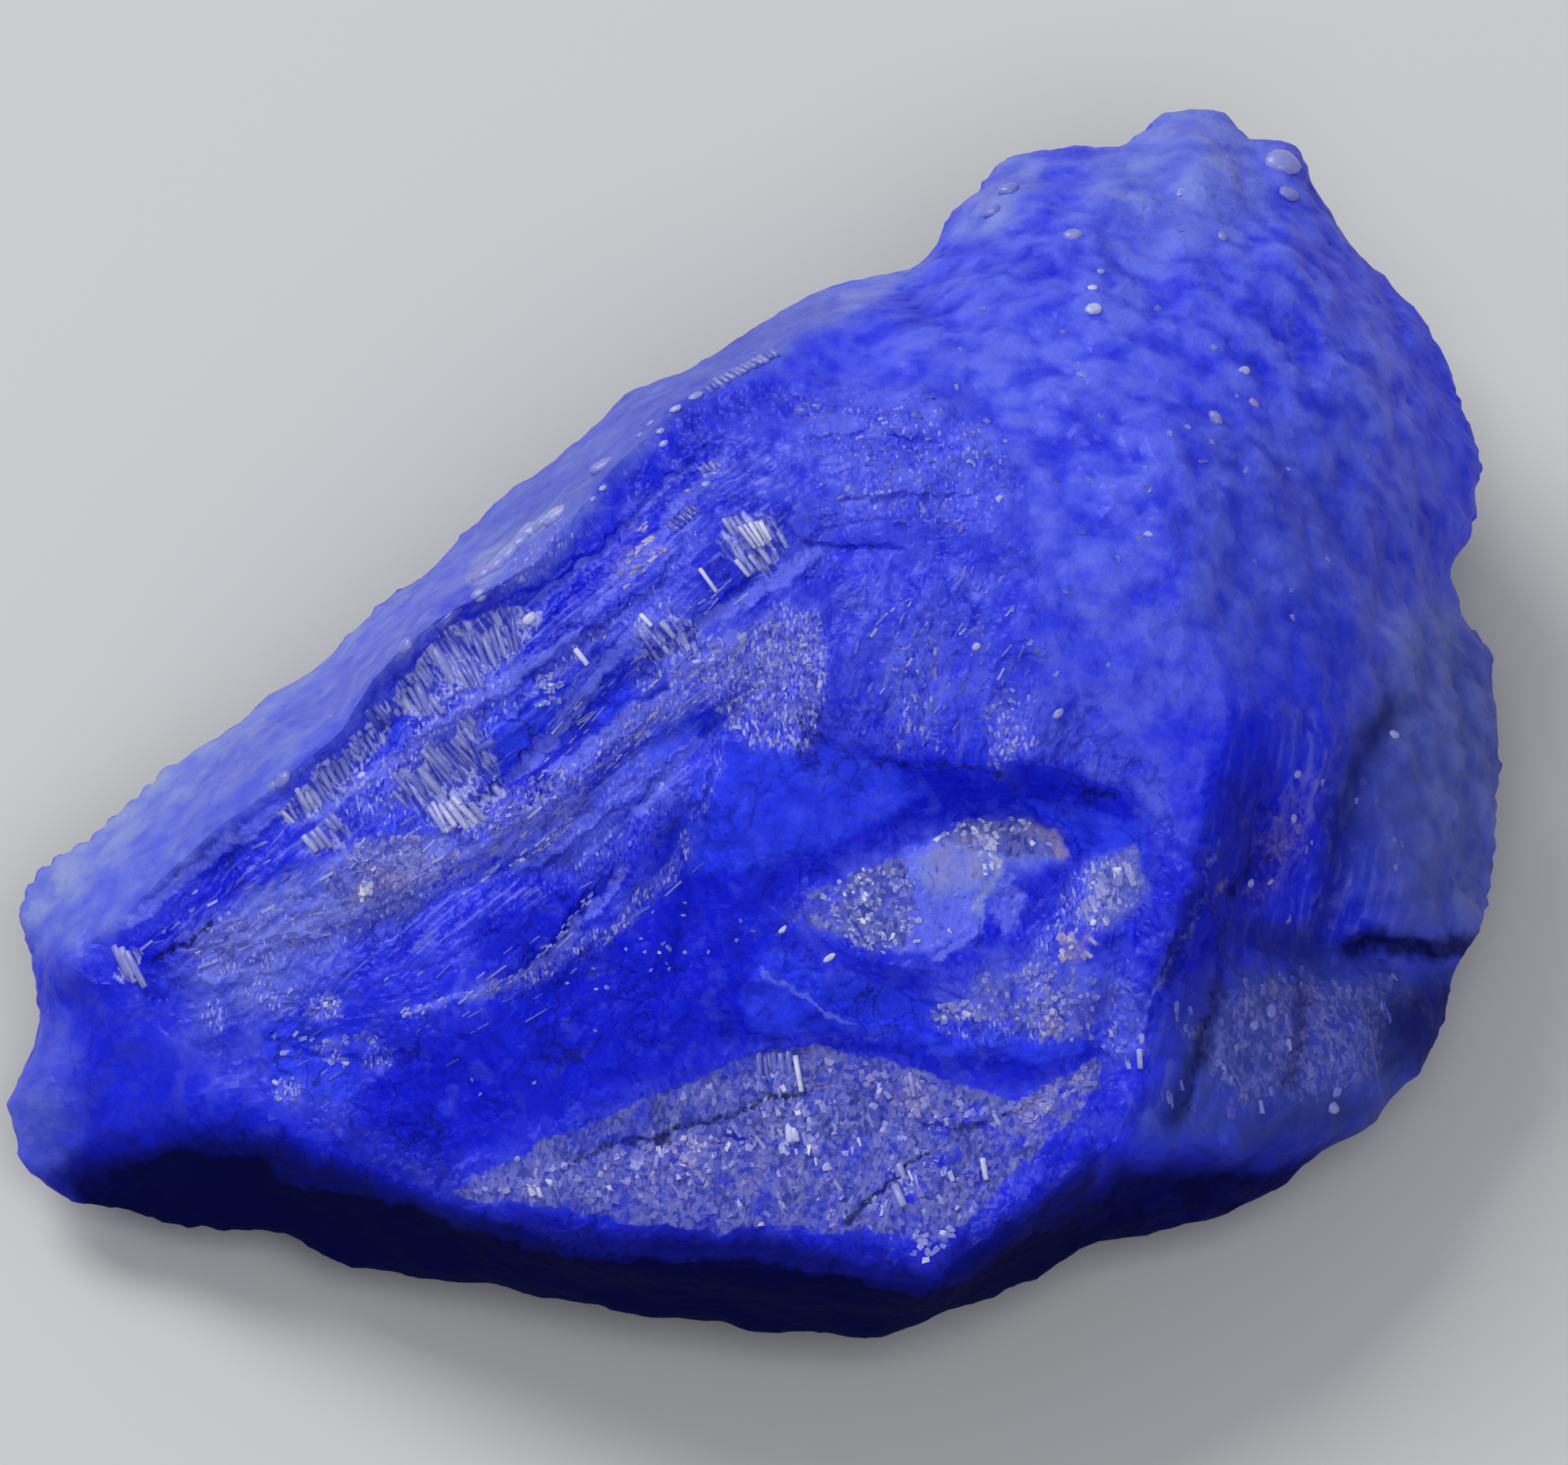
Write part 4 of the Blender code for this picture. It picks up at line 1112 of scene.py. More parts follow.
# Blues of the stone, as linear colours
blues = {
    "body": (0.016, 0.028, 0.8, 1),
    "shadeBody": (0.006, 0.014, 0.7, 1),
    "light": (0.115, 0.155, 0.88, 1),
    "deep": (0.003, 0.009, 0.66, 1),
    "royal": (0.024, 0.05, 0.9, 1),
    "silk": (0.2, 0.23, 0.8, 1),
    "band": (0.15, 0.18, 0.92, 1),
    "veil": (0.17, 0.2, 0.92, 1),
    # painted reflection: the pale blue of the sheen
    "paintedSheen": (0.27, 0.335, 0.65, 1),
    "dull": (0.032, 0.056, 0.3, 1),
    "sugar": (0.145, 0.16, 0.54, 1),
    "sugarDark": (0.04, 0.054, 0.4, 1),
    # painted highlight: near-white for the glints
    "fleck": (0.5, 0.52, 0.8, 1),
    "stain": (0.4, 0.3, 0.46, 1),
    # painted shade: the blue-black of the underside and under the lips
    "underShade": (0.0005, 0.0012, 0.05, 1),
    "joint": (0.001, 0.001, 0.06, 1),
    "rodDark": (0.03, 0.045, 0.52, 1),
    "rodPale": (0.42, 0.45, 0.84, 1),
}

# Darkening tints that multiply what lies under them
tints = {
    "murk": (0.35, 0.4, 0.6, 1),
    # painted shade: darkens the creases between domes
    "hollow": (0.35, 0.42, 0.8, 1),
    "chip": (0.45, 0.5, 0.85, 1),
    "silk": (0.3, 0.36, 0.9, 1),
}

# How each layer of colour comes in: the limits between which it rises on its noise or mark
rises = {
    "shadeBody": (0.35, 0.65),
    "light": (0.42, 0.7),
    "domeLight": (0.42, 0.04),
    "royal": (0.25, 0.75),
    "murk": (0.52, 0.68),
    "clean": (0.46, 0.3),
    "hollow": (0.3, 0.7),
    "paleChip": (0.55, 0.85),
    "darkChip": (0.42, 0.15),
    "paleSilk": (0.52, 0.72),
    "darkSilk": (0.46, 0.3),
    "band": (0.2, 0.7),
    "sugar": (0.3, 0.6),
    "sugarTone": (0.1, 0.8),
    "sugarGlint": (0.95, 1.05),
    "sugarPatch": (0.26, 0.56),
    "fleck": (0.0, 0.1),
    "rod": (0.4, 0.64),
    "ladder": (0.25, 0.6),
    "stain": (0.15, 0.65),
    "crack": (0.045, 0.004),
    "cracked": (0.44, 0.6),
    "joint": (0.25, 0.7),
}

# How much of each layer shows at most, and how broken the edge of a drawn mark is
strengths = {
    "light": 0.3, "deep": 0.9, "royal": 0.9, "murk": 0.7, "clean": 0.2, "hollow": 0.75, "darkChip": 0.45,
    "darkSilk": 0.75, "band": 0.75, "veil": 0.7, "fleck": 0.6, "ladder": 0.8, "stain": 0.55, "seam": 0.3,
    "joint": 0.85,
}
breaks = {"royal": 0.5, "band": 0.9, "sugar": 0.7, "ladder": 0.5, "stain": 0.5, "joint": 0.8}

# Lines along the sheets: mark, way in degrees, width in mm, strength
silks = (("silk", 41, 0.17, 0.6), ("flow", 76, 0.36, 0.35))
silkLength = 2.2
rodFibres = (-58, 1.4, 0.16)

# Crystal ends, which carry the grain shades, the tilts and the painted glints: size in mm, stretch and turn
sugarCells = (0.2, (1.5, 1.0, 0.75), (0.35, 0.1, 0.5))
fleckCells = (0.13, (1.9, 0.8, 1.0), (0.6, -0.3, 0.75))
cellTilts = {"sugar": 0.36, "glitter": 0.5}

# Colours of the clear bits from dark to pale
clearBlues = [
    (0.0, (0.02, 0.035, 0.5, 1)),
    (1.0, (0.7, 0.72, 0.92, 1)),
    (0.35, (0.12, 0.14, 0.6, 1)),
    (0.7, (0.3, 0.32, 0.7, 1)),
]


# How strongly corundum bends light
corundumBend = 1.77


def newMaterial(name, specular):
    material = bpy.data.materials.new(name)
    material.use_nodes = True
    shader = material.node_tree.nodes["Principled BSDF"]
    shader.inputs["IOR"].default_value = corundumBend
    shader.inputs["Specular IOR Level"].default_value = specular
    return material, material.node_tree, shader


def cloud(tree, mm, size, detail, roughness):
    node = newNode(tree, "ShaderNodeTexNoise")
    node.inputs["Scale"].default_value = 1 / size
    node.inputs["Detail"].default_value = detail
    node.inputs["Roughness"].default_value = roughness
    feed(tree, node.inputs["Vector"], mm)
    return node


def fibres(tree, mm, way, long, short):
    # noise drawn out along a way on the stone that shows at an angle in the picture
    turn = math.radians(way)
    along = Vector((1, 0, 0)) * math.cos(turn) + Vector(upWay) * math.sin(turn)
    laid = newNode(tree, "ShaderNodeMapping", vector_type="TEXTURE")
    laid.inputs["Rotation"].default_value = (0, -math.asin(along.z), math.atan2(along.y, along.x))
    laid.inputs["Scale"].default_value = (long, short, short)
    feed(tree, laid.inputs["Vector"], mm)
    return cloud(tree, laid.outputs["Vector"], 1, 2, 0.5).outputs["Fac"]


def cells(tree, mm, size, stretch, turn):
    turned = newNode(tree, "ShaderNodeMapping")
    turned.inputs["Rotation"].default_value = turn
    turned.inputs["Scale"].default_value = stretch
    feed(tree, turned.inputs["Vector"], mm)
    node = newNode(tree, "ShaderNodeTexVoronoi")
    node.inputs["Scale"].default_value = 1 / size
    feed(tree, node.inputs["Vector"], turned.outputs["Vector"])
    return node.outputs["Color"]


def channels(tree, colour):
    node = newNode(tree, "ShaderNodeSeparateColor")
    feed(tree, node.inputs["Color"], colour)
    return node.outputs


def ragged(tree, cues, name, amount):
    # a soft mark given a broken edge
    strength = breaks[name]
    edge = scaled(tree, cues["fine"], strength, reckon(tree, "SUBTRACT", amount, strength / 2))
    return stepped(tree, edge, rises[name])


def layered(tree, colour, name, amount, blend="MIX"):
    # one more layer of a named blue, or of a named darkening tint
    amount = times(tree, amount, strengths[name]) if name in strengths else amount
    return mixed(tree, amount, colour, tints[name] if blend == "MULTIPLY" else blues[name], blend)


def stoneCues(tree):
    # what the layers share: places in mm, three clouds and the worked shapes
    mapping = newNode(tree, "ShaderNodeMapping")
    mapping.inputs["Scale"].default_value = (1000, 1000, 1000)
    feed(tree, mapping.inputs["Vector"], newNode(tree, "ShaderNodeTexCoord").outputs["Object"])
    mm = mapping.outputs["Vector"]
    mottle = cloud(tree, mm, 0.9, 3, 0.6)
    crease = marked(tree, "crease")
    return {
        "mm": mm,
        "broad": cloud(tree, mm, 5.0, 1, 0.5).outputs["Fac"],
        "mottle": mottle.outputs["Fac"],
        "mottleColour": mottle.outputs["Color"],
        "fine": cloud(tree, mm, 0.2, 2, 0.65).outputs["Fac"],
        "crease": crease,
        # painted light: 1 over the dome middles, 0 in the creases
        "domeLight": stepped(tree, crease, rises["domeLight"]),
    }


def bodyBlues(tree, cues):
    # body colour with soft pale blobs over the dome middles (painted light), the deep and the clean blue,
    # painted shade in the creases between domes, and the shade of each chip
    mottle, domeLight = cues["mottle"], cues["domeLight"]
    colour = mixed(tree, stepped(tree, cues["broad"], rises["shadeBody"]), blues["body"], blues["shadeBody"])
    colour = layered(tree, colour, "light", stepped(tree, mottle, rises["light"]))
    # painted light: paler over the middles of the domes
    paleness = scaled(tree, domeLight, 0.75, scaled(tree, mottle, 1.3, -0.25))
    colour = mixed(tree, times(tree, marked(tree, "pale"), paleness), colour, blues["light"])
    deep = marked(tree, "deep")
    colour = layered(tree, colour, "deep", deep)
    royal = ragged(tree, cues, "royal", marked(tree, "royal"))
    colour = layered(tree, colour, "royal", royal)

    smooth = reckon(tree, "MAXIMUM", deep, royal)
    murky = times(tree, smooth, stepped(tree, mottle, rises["murk"]))
    colour = layered(tree, colour, "murk", murky, "MULTIPLY")
    clean = times(tree, smooth, stepped(tree, mottle, rises["clean"]))
    colour = mixed(tree, times(tree, clean, strengths["clean"]), colour, blues["light"])
    # painted shade: darker in the creases between domes
    hollow = times(tree, marked(tree, "domes"), stepped(tree, cues["crease"], rises["hollow"]))
    colour = layered(tree, colour, "hollow", hollow, "MULTIPLY")

    chip = marked(tree, "chip")
    paler = times(tree, stepped(tree, chip, rises["paleChip"]), scaled(tree, smooth, -0.24, 0.34))
    colour = mixed(tree, paler, colour, blues["light"])
    darker = times(tree, stepped(tree, chip, rises["darkChip"]), strengths["darkChip"])
    cues["smooth"] = smooth
    return mixed(tree, darker, colour, tints["chip"], "MULTIPLY")


def silkBlues(tree, cues, colour):
    # silky lines along the sheets, and the lilac bands where sheets end
    for name, way, width, most in silks:
        lines = fibres(tree, cues["mm"], way, silkLength, width)
        amount = marked(tree, name)
        up = times(tree, amount, stepped(tree, lines, rises["paleSilk"]))
        down = times(tree, amount, stepped(tree, lines, rises["darkSilk"]))
        up = times(tree, up, scaled(tree, cues["smooth"], -0.3, most))
        colour = mixed(tree, up, colour, blues["silk"])
        colour = mixed(tree, times(tree, down, strengths["darkSilk"]), colour, tints["silk"], "MULTIPLY")
    return layered(tree, colour, "band", ragged(tree, cues, "band", marked(tree, "band")))


def sheenAndDullBlues(tree, cues, colour):
    # pale painted sheen, and the greyer end
    cloudy = scaled(tree, cues["domeLight"], 0.4, 0.2)
    paintedSheen = times(tree, marked(tree, "paintedSheen"), reckon(tree, "ADD", cues["mottle"], cloudy))
    colour = layered(tree, colour, "paintedSheen", paintedSheen)
    # painted shade: greyer and darker in the creases between domes
    greyer = scaled(tree, cues["domeLight"], -0.4, 0.9)
    return layered(tree, colour, "dull", times(tree, marked(tree, "dull"), greyer))


def grainBlues(tree, cues, colour):
    # sugary faces, every grain its own shade and a few with a painted glint, then painted glints on the
    # crystal ends that lie along the sheets
    cues["sugarCells"] = cells(tree, cues["mm"], *sugarCells)
    shades = channels(tree, cues["sugarCells"])
    tone = mixed(tree, stepped(tree, shades[0], rises["sugarTone"]), blues["sugarDark"], blues["sugar"])
    # painted glint on the brightest few grains
    tone = mixed(tree, stepped(tree, shades[1], rises["sugarGlint"]), tone, blues["fleck"])
    sugar = ragged(tree, cues, "sugar", marked(tree, "sugar"))
    cues["sugar"] = times(tree, sugar, stepped(tree, cues["mottle"], rises["sugarPatch"]))
    colour = mixed(tree, cues["sugar"], colour, tone)

    cues["glitter"] = marked(tree, "glitter")
    cues["fleckCells"] = cells(tree, cues["mm"], *fleckCells)
    shades = channels(tree, cues["fleckCells"])
    threshold = scaled(tree, cues["glitter"], -0.3, 1.06)
    # painted glints: the brightest cells where the glitter mark is
    cues["fleck"] = stepped(tree, reckon(tree, "SUBTRACT", shades[0], threshold), rises["fleck"])
    colour = layered(tree, colour, "veil", times(tree, cues["glitter"], shades[1]))
    return layered(tree, colour, "fleck", cues["fleck"])


def rodBlues(tree, cues, colour):
    # rods side by side in the gaps between sheets
    rods = stepped(tree, fibres(tree, cues["mm"], *rodFibres), rises["rod"])
    tone = mixed(tree, rods, blues["rodDark"], blues["rodPale"])
    ladder = reckon(tree, "MAXIMUM", marked(tree, "ladder"), marked(tree, "gap"))
    ladder = times(tree, ragged(tree, cues, "ladder", ladder), strengths["ladder"])
    return mixed(tree, ladder, colour, tone)


def jointBlues(tree, cues, colour):
    # stain, cracks, seams, joints, and the painted shade of the underside
    blot = times(tree, marked(tree, "stain"), scaled(tree, cues["mottle"], 2.4, -0.4))
    colour = layered(tree, colour, "stain", ragged(tree, cues, "stain", blot))

    bent = vectors(tree, "MULTIPLY_ADD", cues["mottleColour"], (0.9, 0.9, 0.9), cues["mm"])
    cracks = newNode(tree, "ShaderNodeTexVoronoi", feature="DISTANCE_TO_EDGE")
    cracks.inputs["Scale"].default_value = 0.9
    feed(tree, cracks.inputs["Vector"], bent.outputs["Vector"])
    crack = stepped(tree, cracks.outputs["Distance"], rises["crack"])
    crack = times(tree, crack, stepped(tree, cues["broad"], rises["cracked"]))
    crack = times(tree, crack, scaled(tree, cues["smooth"], 0.5, 0.08))
    seam = times(tree, marked(tree, "seam"), strengths["seam"])
    joint = times(tree, ragged(tree, cues, "joint", marked(tree, "dark")), strengths["joint"])
    dark = reckon(tree, "MAXIMUM", reckon(tree, "MAXIMUM", crack, seam), joint)
    colour = mixed(tree, dark, colour, blues["joint"])

    # the painted shade of the underside, broken a little by the mottle
    cues["underShade"] = times(tree, marked(tree, "underShade"), scaled(tree, cues["mottle"], -0.5, 1.4))
    return layered(tree, colour, "underShade", cues["underShade"])


def grainyNormal(tree, cues):
    # small facets tilt the skin, cell by cell, and grain roughens it
    normal = newNode(tree, "ShaderNodeNewGeometry").outputs["Normal"]
    for colours, amount, most in (
        (cues["sugarCells"], cues["sugar"], cellTilts["sugar"]),
        (cues["fleckCells"], cues["glitter"], cellTilts["glitter"]),
    ):
        tilt = vectors(tree, "SCALE", vectors(tree, "SUBTRACT", colours, (0.5, 0.5, 0.5)).outputs["Vector"])
        feed(tree, tilt.inputs["Scale"], times(tree, amount, most))
        normal = vectors(tree, "ADD", normal, tilt.outputs["Vector"]).outputs["Vector"]
    bump = newNode(tree, "ShaderNodeBump")
    bump.inputs["Strength"].default_value = 0.5
    bump.inputs["Distance"].default_value = 0.0001
    feed(tree, bump.inputs["Height"], cues["fine"])
    feed(tree, bump.inputs["Normal"], vectors(tree, "NORMALIZE", normal).outputs["Vector"])
    return bump.outputs["Normal"]


def blueCorundum():
    material, tree, shader = newMaterial("blueCorundum", 0.04)
    cues = stoneCues(tree)
    colour = bodyBlues(tree, cues)
    for layer in (silkBlues, sheenAndDullBlues, grainBlues, rodBlues, jointBlues):
        colour = layer(tree, cues, colour)
    feed(tree, shader.inputs["Base Color"], colour)

    # a thin gloss, less where the blue is deep or carries painted shade; the painted glints are smoother
    calm = reckon(tree, "MAXIMUM", cues["smooth"], cues["underShade"])
    feed(tree, shader.inputs["Coat Weight"], scaled(tree, calm, -0.2, 0.2))
    shader.inputs["Coat Roughness"].default_value = 0.3
    rough = scaled(tree, cues["fleck"], -0.2, scaled(tree, cues["mottle"], 0.3, 0.34))
    feed(tree, shader.inputs["Roughness"], reckon(tree, "MAXIMUM", rough, cues["underShade"]))
    feed(tree, shader.inputs["Normal"], grainyNormal(tree, cues))
    return material


# Angular grains of crystal. Each row: outline of where they stand, how many, length and width in
# pixels, way in degrees above the level, spread of it, paleness, stain
grains = {
    "lift": 0.01,
    "size": 0.78,
    "keptOff": 0.35,
    "brightShare": 0.07,
    "rows": [
        ([
            (880, 868), (980, 764), (1045, 775), (1050, 880), (1020, 950), (930, 925),
        ], 130, (5, 12), (3, 7), 20, 90, 0.42, 0.0),
        ([(446, 1062), (530, 1058), (540, 1095), (450, 1108)], 60, (8, 16), (6, 10), 20, 60, 0.45, 0.15),
        ([(440, 1120), (470, 1118), (476, 1144), (446, 1146)], 6, (8, 14), (6, 9), 20, 60, 1.0, 0.35),
        ([
            (240, 1180), (380, 1140), (450, 1150), (380, 1215), (250, 1226),
        ], 40, (12, 34), (4, 8), 17, 10, 0.38, 0.1),
        ([(460, 1130), (640, 1050), (650, 1074), (480, 1160)], 40, (9, 30), (3, 7), 30, 12, 0.38, 0.1),
        ([(640, 1050), (880, 864), (890, 884), (660, 1072)], 50, (8, 28), (3, 5), 40, 12, 0.45, 0.05),
        ([
            (510, 1280), (580, 1262), (650, 1234), (700, 1190), (745, 1132), (753, 1138), (706, 1198),
            (655, 1244), (585, 1272), (514, 1290),
        ], 60, (6, 13), (3, 5), 34, 20, 0.6, 0.0),
        ([
            (604, 1112), (646, 1086), (682, 1068), (727, 1032), (731, 1040), (686, 1078), (650, 1098),
            (608, 1122),
        ], 30, (8, 16), (3, 5), 33, 12, 0.55, 0.0),
        ([(395, 1265), (434, 1262), (432, 1290), (400, 1290)], 16, (5, 10), (4, 7), 20, 60, 0.5, 0.0),
        ([(395, 1316), (440, 1312), (438, 1352), (400, 1352)], 16, (5, 12), (4, 8), 20, 70, 0.42, 0.0),
        ([(344, 1368), (383, 1364), (380, 1396), (350, 1396)], 12, (5, 11), (4, 7), 20, 70, 0.45, 0.0),
        ([(675, 860), (712, 853), (710, 896), (680, 898)], 24, (6, 13), (4, 7), 30, 60, 0.6, 0.0),
        ([
            (590, 1040), (650, 1000), (720, 960), (700, 1020), (620, 1060),
        ], 40, (6, 14), (3, 6), 36, 40, 0.4, 0.1),
        ([(842, 850), (900, 815), (952, 803), (950, 830), (870, 862)], 34, (8, 18), (4, 7), 24, 20, 0.5, 0.0),
        ([
            (1040, 1130), (1110, 1095), (1165, 1100), (1165, 1180), (1120, 1210), (1060, 1190),
        ], 130, (4, 10), (3, 6), -50, 50, 0.66, 0.0),
        ([(1223, 1050), (1262, 1048), (1276, 1100), (1250, 1104)], 22, (8, 18), (5, 8), -70, 30, 0.85, 0.15),
        ([(1000, 1160), (1230, 1050), (1200, 1210), (1090, 1210)], 30, (5, 11), (4, 7), -40, 60, 0.4, 0.1),
        ([
            (1160, 1066), (1230, 1040), (1300, 1036), (1345, 1066), (1335, 1090), (1280, 1062),
            (1200, 1080),
        ], 40, (6, 12), (4, 8), 10, 60, 0.68, 0.25),
        ([
            (1382, 1100), (1420, 1090), (1440, 1110), (1400, 1172), (1370, 1170),
        ], 26, (10, 22), (7, 12), -70, 24, 0.66, 0.1),
        ([(1341, 1186), (1392, 1186), (1380, 1216), (1345, 1216)], 16, (8, 14), (6, 9), -70, 50, 0.58, 0.45),
        ([(1315, 1250), (1351, 1247), (1345, 1322), (1312, 1322)], 34, (7, 14), (6, 9), -80, 30, 0.42, 0.3),
        ([(1178, 1280), (1230, 1262), (1244, 1296), (1190, 1298)], 30, (7, 15), (5, 8), 20, 50, 0.5, 0.15),
        ([
            (1230, 1240), (1330, 1215), (1390, 1240), (1390, 1320), (1300, 1315), (1240, 1290),
        ], 80, (5, 11), (4, 7), 20, 80, 0.4, 0.15),
        ([(1280, 1405), (1380, 1352), (1392, 1366), (1300, 1425)], 60, (8, 16), (6, 10), 10, 60, 0.45, 0.3),
        ([
            (600, 1510), (760, 1440), (960, 1345), (1060, 1335), (1180, 1375), (1290, 1410), (1240, 1500),
            (1180, 1560), (900, 1550), (700, 1525),
        ], 430, (8, 17), (6, 11), -60, 60, 0.27, 0.22),
        ([
            (650, 1510), (820, 1440), (960, 1360), (1180, 1400), (1180, 1540), (900, 1545),
        ], 80, (8, 24), (4, 8), -78, 24, 0.55, 0.2),
        ([
            (720, 1500), (796, 1443), (900, 1440), (1000, 1420), (960, 1480), (800, 1500),
        ], 80, (6, 11), (5, 9), -40, 80, 0.36, 0.3),
        ([(1180, 1400), (1300, 1400), (1240, 1530), (1160, 1560)], 90, (6, 15), (5, 8), -60, 70, 0.4, 0.1),
        ([(1090, 1356), (1190, 1370), (1200, 1420), (1110, 1410)], 26, (8, 16), (6, 10), -70, 40, 0.5, 0.4),
        ([(640, 1492), (720, 1462), (740, 1500), (660, 1518)], 22, (8, 16), (6, 10), -60, 50, 0.5, 0.25),
        ([(830, 1446), (900, 1440), (900, 1476), (836, 1480)], 14, (7, 13), (6, 9), -40, 70, 0.5, 0.55),
        ([(985, 1395), (1030, 1395), (1030, 1470), (990, 1470)], 20, (8, 18), (5, 9), -80, 20, 0.66, 0.1),
        ([(1130, 1580), (1230, 1540), (1180, 1600)], 18, (7, 16), (6, 9), 20, 70, 0.5, 0.0),
        (shared["grainyTop"], 90, (6, 13), (4, 7), 4, 34, 0.32, 0.2),
        ([(1130, 830), (1190, 800), (1190, 950), (1135, 950)], 30, (6, 14), (3, 6), -70, 30, 0.34, 0.1),
        ([(1250, 870), (1290, 866), (1285, 950), (1250, 985)], 26, (6, 13), (4, 7), -70, 50, 0.4, 0.05),
        ([(1400, 1250), (1450, 1240), (1450, 1350), (1410, 1360)], 12, (10, 20), (5, 8), -84, 10, 0.3, 0.2),
        ([(780, 740), (816, 660), (840, 690), (800, 760)], 24, (8, 16), (5, 8), 40, 30, 0.45, 0.4),
        ([
            (1150, 260), (1380, 200), (1600, 250), (1760, 620), (1600, 860), (1300, 860),
        ], 46, (6, 12), (6, 10), 0, 90, 0.45, 0.15),
        ([
            (1600, 1100), (1680, 980), (1800, 1000), (1760, 1160), (1640, 1180),
        ], 10, (7, 14), (6, 9), -80, 20, 0.26, 0.3),
        ([
            (1480, 1280), (1600, 1220), (1780, 1240), (1740, 1380), (1560, 1420), (1470, 1400),
        ], 50, (10, 24), (5, 9), -80, 16, 0.24, 0.2),
        ([
            (300, 1250), (380, 1240), (480, 1320), (420, 1400), (330, 1340),
        ], 24, (8, 16), (5, 9), 20, 40, 0.26, 0.0),
        ([(960, 1180), (640, 1400), (560, 1380), (860, 1120)], 26, (4, 8), (3, 5), 20, 60, 0.5, 0.0),
        ([
            (320, 1250), (600, 1180), (820, 1060), (900, 1100), (640, 1330), (430, 1420), (340, 1340),
        ], 50, (10, 36), (2, 3), 36, 9, 0.26, 0.0),
        ([
            (420, 1100), (640, 960), (860, 780), (960, 700), (900, 880), (700, 1080), (500, 1180),
        ], 110, (10, 38), (2, 4), 42, 9, 0.34, 0.05),
        ([
            (160, 1200), (320, 1070), (420, 1080), (440, 1150), (300, 1230),
        ], 50, (8, 30), (3, 6), 26, 12, 0.34, 0.1),
        ([
            (1060, 720), (1290, 720), (1320, 900), (1260, 960), (1110, 950),
        ], 80, (6, 22), (2, 4), 62, 14, 0.36, 0.05),
    ],
}


def skinOf(piece):
    mesh = piece.data
    return BVHTree.FromPolygons([v.co for v in mesh.vertices], [p.vertices for p in mesh.polygons])


def standOn(skin, u, v, way, reach):
    # where a pixel's sight line meets the skin, and the ways along, across and out of it there
    spot, normal, _, _ = skin.ray_cast(Vector(eye), sightLine(u, v))
    if spot is None:
        return None
    turn = math.radians(way)
    for du, dv in ((1, 0), (-1, 0), (0, 1), (0, -1)):
        near = skin.ray_cast(Vector(eye), sightLine(u + du * reach, v + dv * reach))
        normal = normal + (near[1] or normal)
    normal.normalize()
    along = Vector((1, 0, 0)) * math.cos(turn) + Vector(upWay) * math.sin(turn)
    along = (along - normal * along.dot(normal)).normalized()
    return Matrix((along, normal.cross(along), normal)).transposed().to_4x4(), spot, normal


def stretched(lean, length):
    # the real length of what shows so many pixels long
    seen = math.sqrt(max(1 - Vector(toEye).dot(lean.col[0].xyz) ** 2, 0.4))
    return length / pixelsPerMetre / seen


def coloured(heap, verts, paleness, stain):
    pale, stained = heap.verts.layers.float["paleness"], heap.verts.layers.float["stained"]
    for vert in verts:
        vert[pale] = paleness
        vert[stained] = stain


def unit(value):
    return min(max(value, 0), 1)


def newHeap():
    heap = bmesh.new()
    heap.verts.layers.float.new("paleness")
    heap.verts.layers.float.new("stained")
    return heap


def finishedHeap(heap, name, smooth):
    bmesh.ops.triangulate(heap, faces=heap.faces)
    bmesh.ops.recalc_face_normals(heap, faces=heap.faces)
    mesh = bpy.data.meshes.new(name)
    heap.to_mesh(mesh)
    heap.free()
    if smooth:
        mesh.shade_smooth()
    piece = bpy.data.objects.new(name, mesh)
    bpy.context.scene.collection.objects.link(piece)
    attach(piece, "root")
    print(name, "stand with", len(mesh.polygons), "triangles")
    return piece


def rungGaps():
    # the dark gap that each row of rungs stands in
    return [
        ("stroke", rungs["gapStrength"], length * rungs["gapReach"], [first, last])
        for first, last, count, length, *_ in rungs["rows"] if count > 1
    ]


def rungsOf(skin):
    dice = random.Random(11)
    heap = newHeap()
    for first, last, count, length, width, way, paleness, stain in rungs["rows"]:
        for number in range(count):
            share = number / max(count - 1, 1)
            u = first[0] + (last[0] - first[0]) * share + dice.uniform(-1.0, 1.0)
            v = first[1] + (last[1] - first[1]) * share + dice.uniform(-1.0, 1.0)
            stand = standOn(skin, u, v, way + dice.uniform(-3, 3), length * 0.35)
            if stand is None:
                continue
            lean, spot, normal = stand
            long = stretched(lean, length * dice.uniform(0.82, 1.1))
            wide = width / pixelsPerMetre * dice.uniform(0.85, 1.1)
            high = wide * 0.7
            rise = rungs["lift"] / 1000 - high * 0.15
            verts = bmesh.ops.create_cone(
                heap, cap_ends=True, segments=8, radius1=0.5, radius2=0.46, depth=1.0,
                matrix=Matrix.Translation(spot + normal * rise) @ lean
                @ Matrix.Diagonal((long, wide, high, 1)) @ Matrix.Rotation(math.pi / 2, 4, "Y")
                @ Matrix.Rotation(dice.uniform(0, 1), 4, "Z"),
            )["verts"]
            caps = {face for vert in verts for face in vert.link_faces if len(face.verts) == 8}
            inner = bmesh.ops.inset_region(heap, faces=list(caps), thickness=wide * 0.18, depth=wide * 0.12)
            verts = {vert for face in inner["faces"] for vert in face.verts} | set(verts) | {
                vert for face in caps for vert in face.verts}
            coloured(heap, verts, unit(paleness + dice.uniform(-0.22, 0.12)), stain)
    return finishedHeap(heap, "rungs", True)


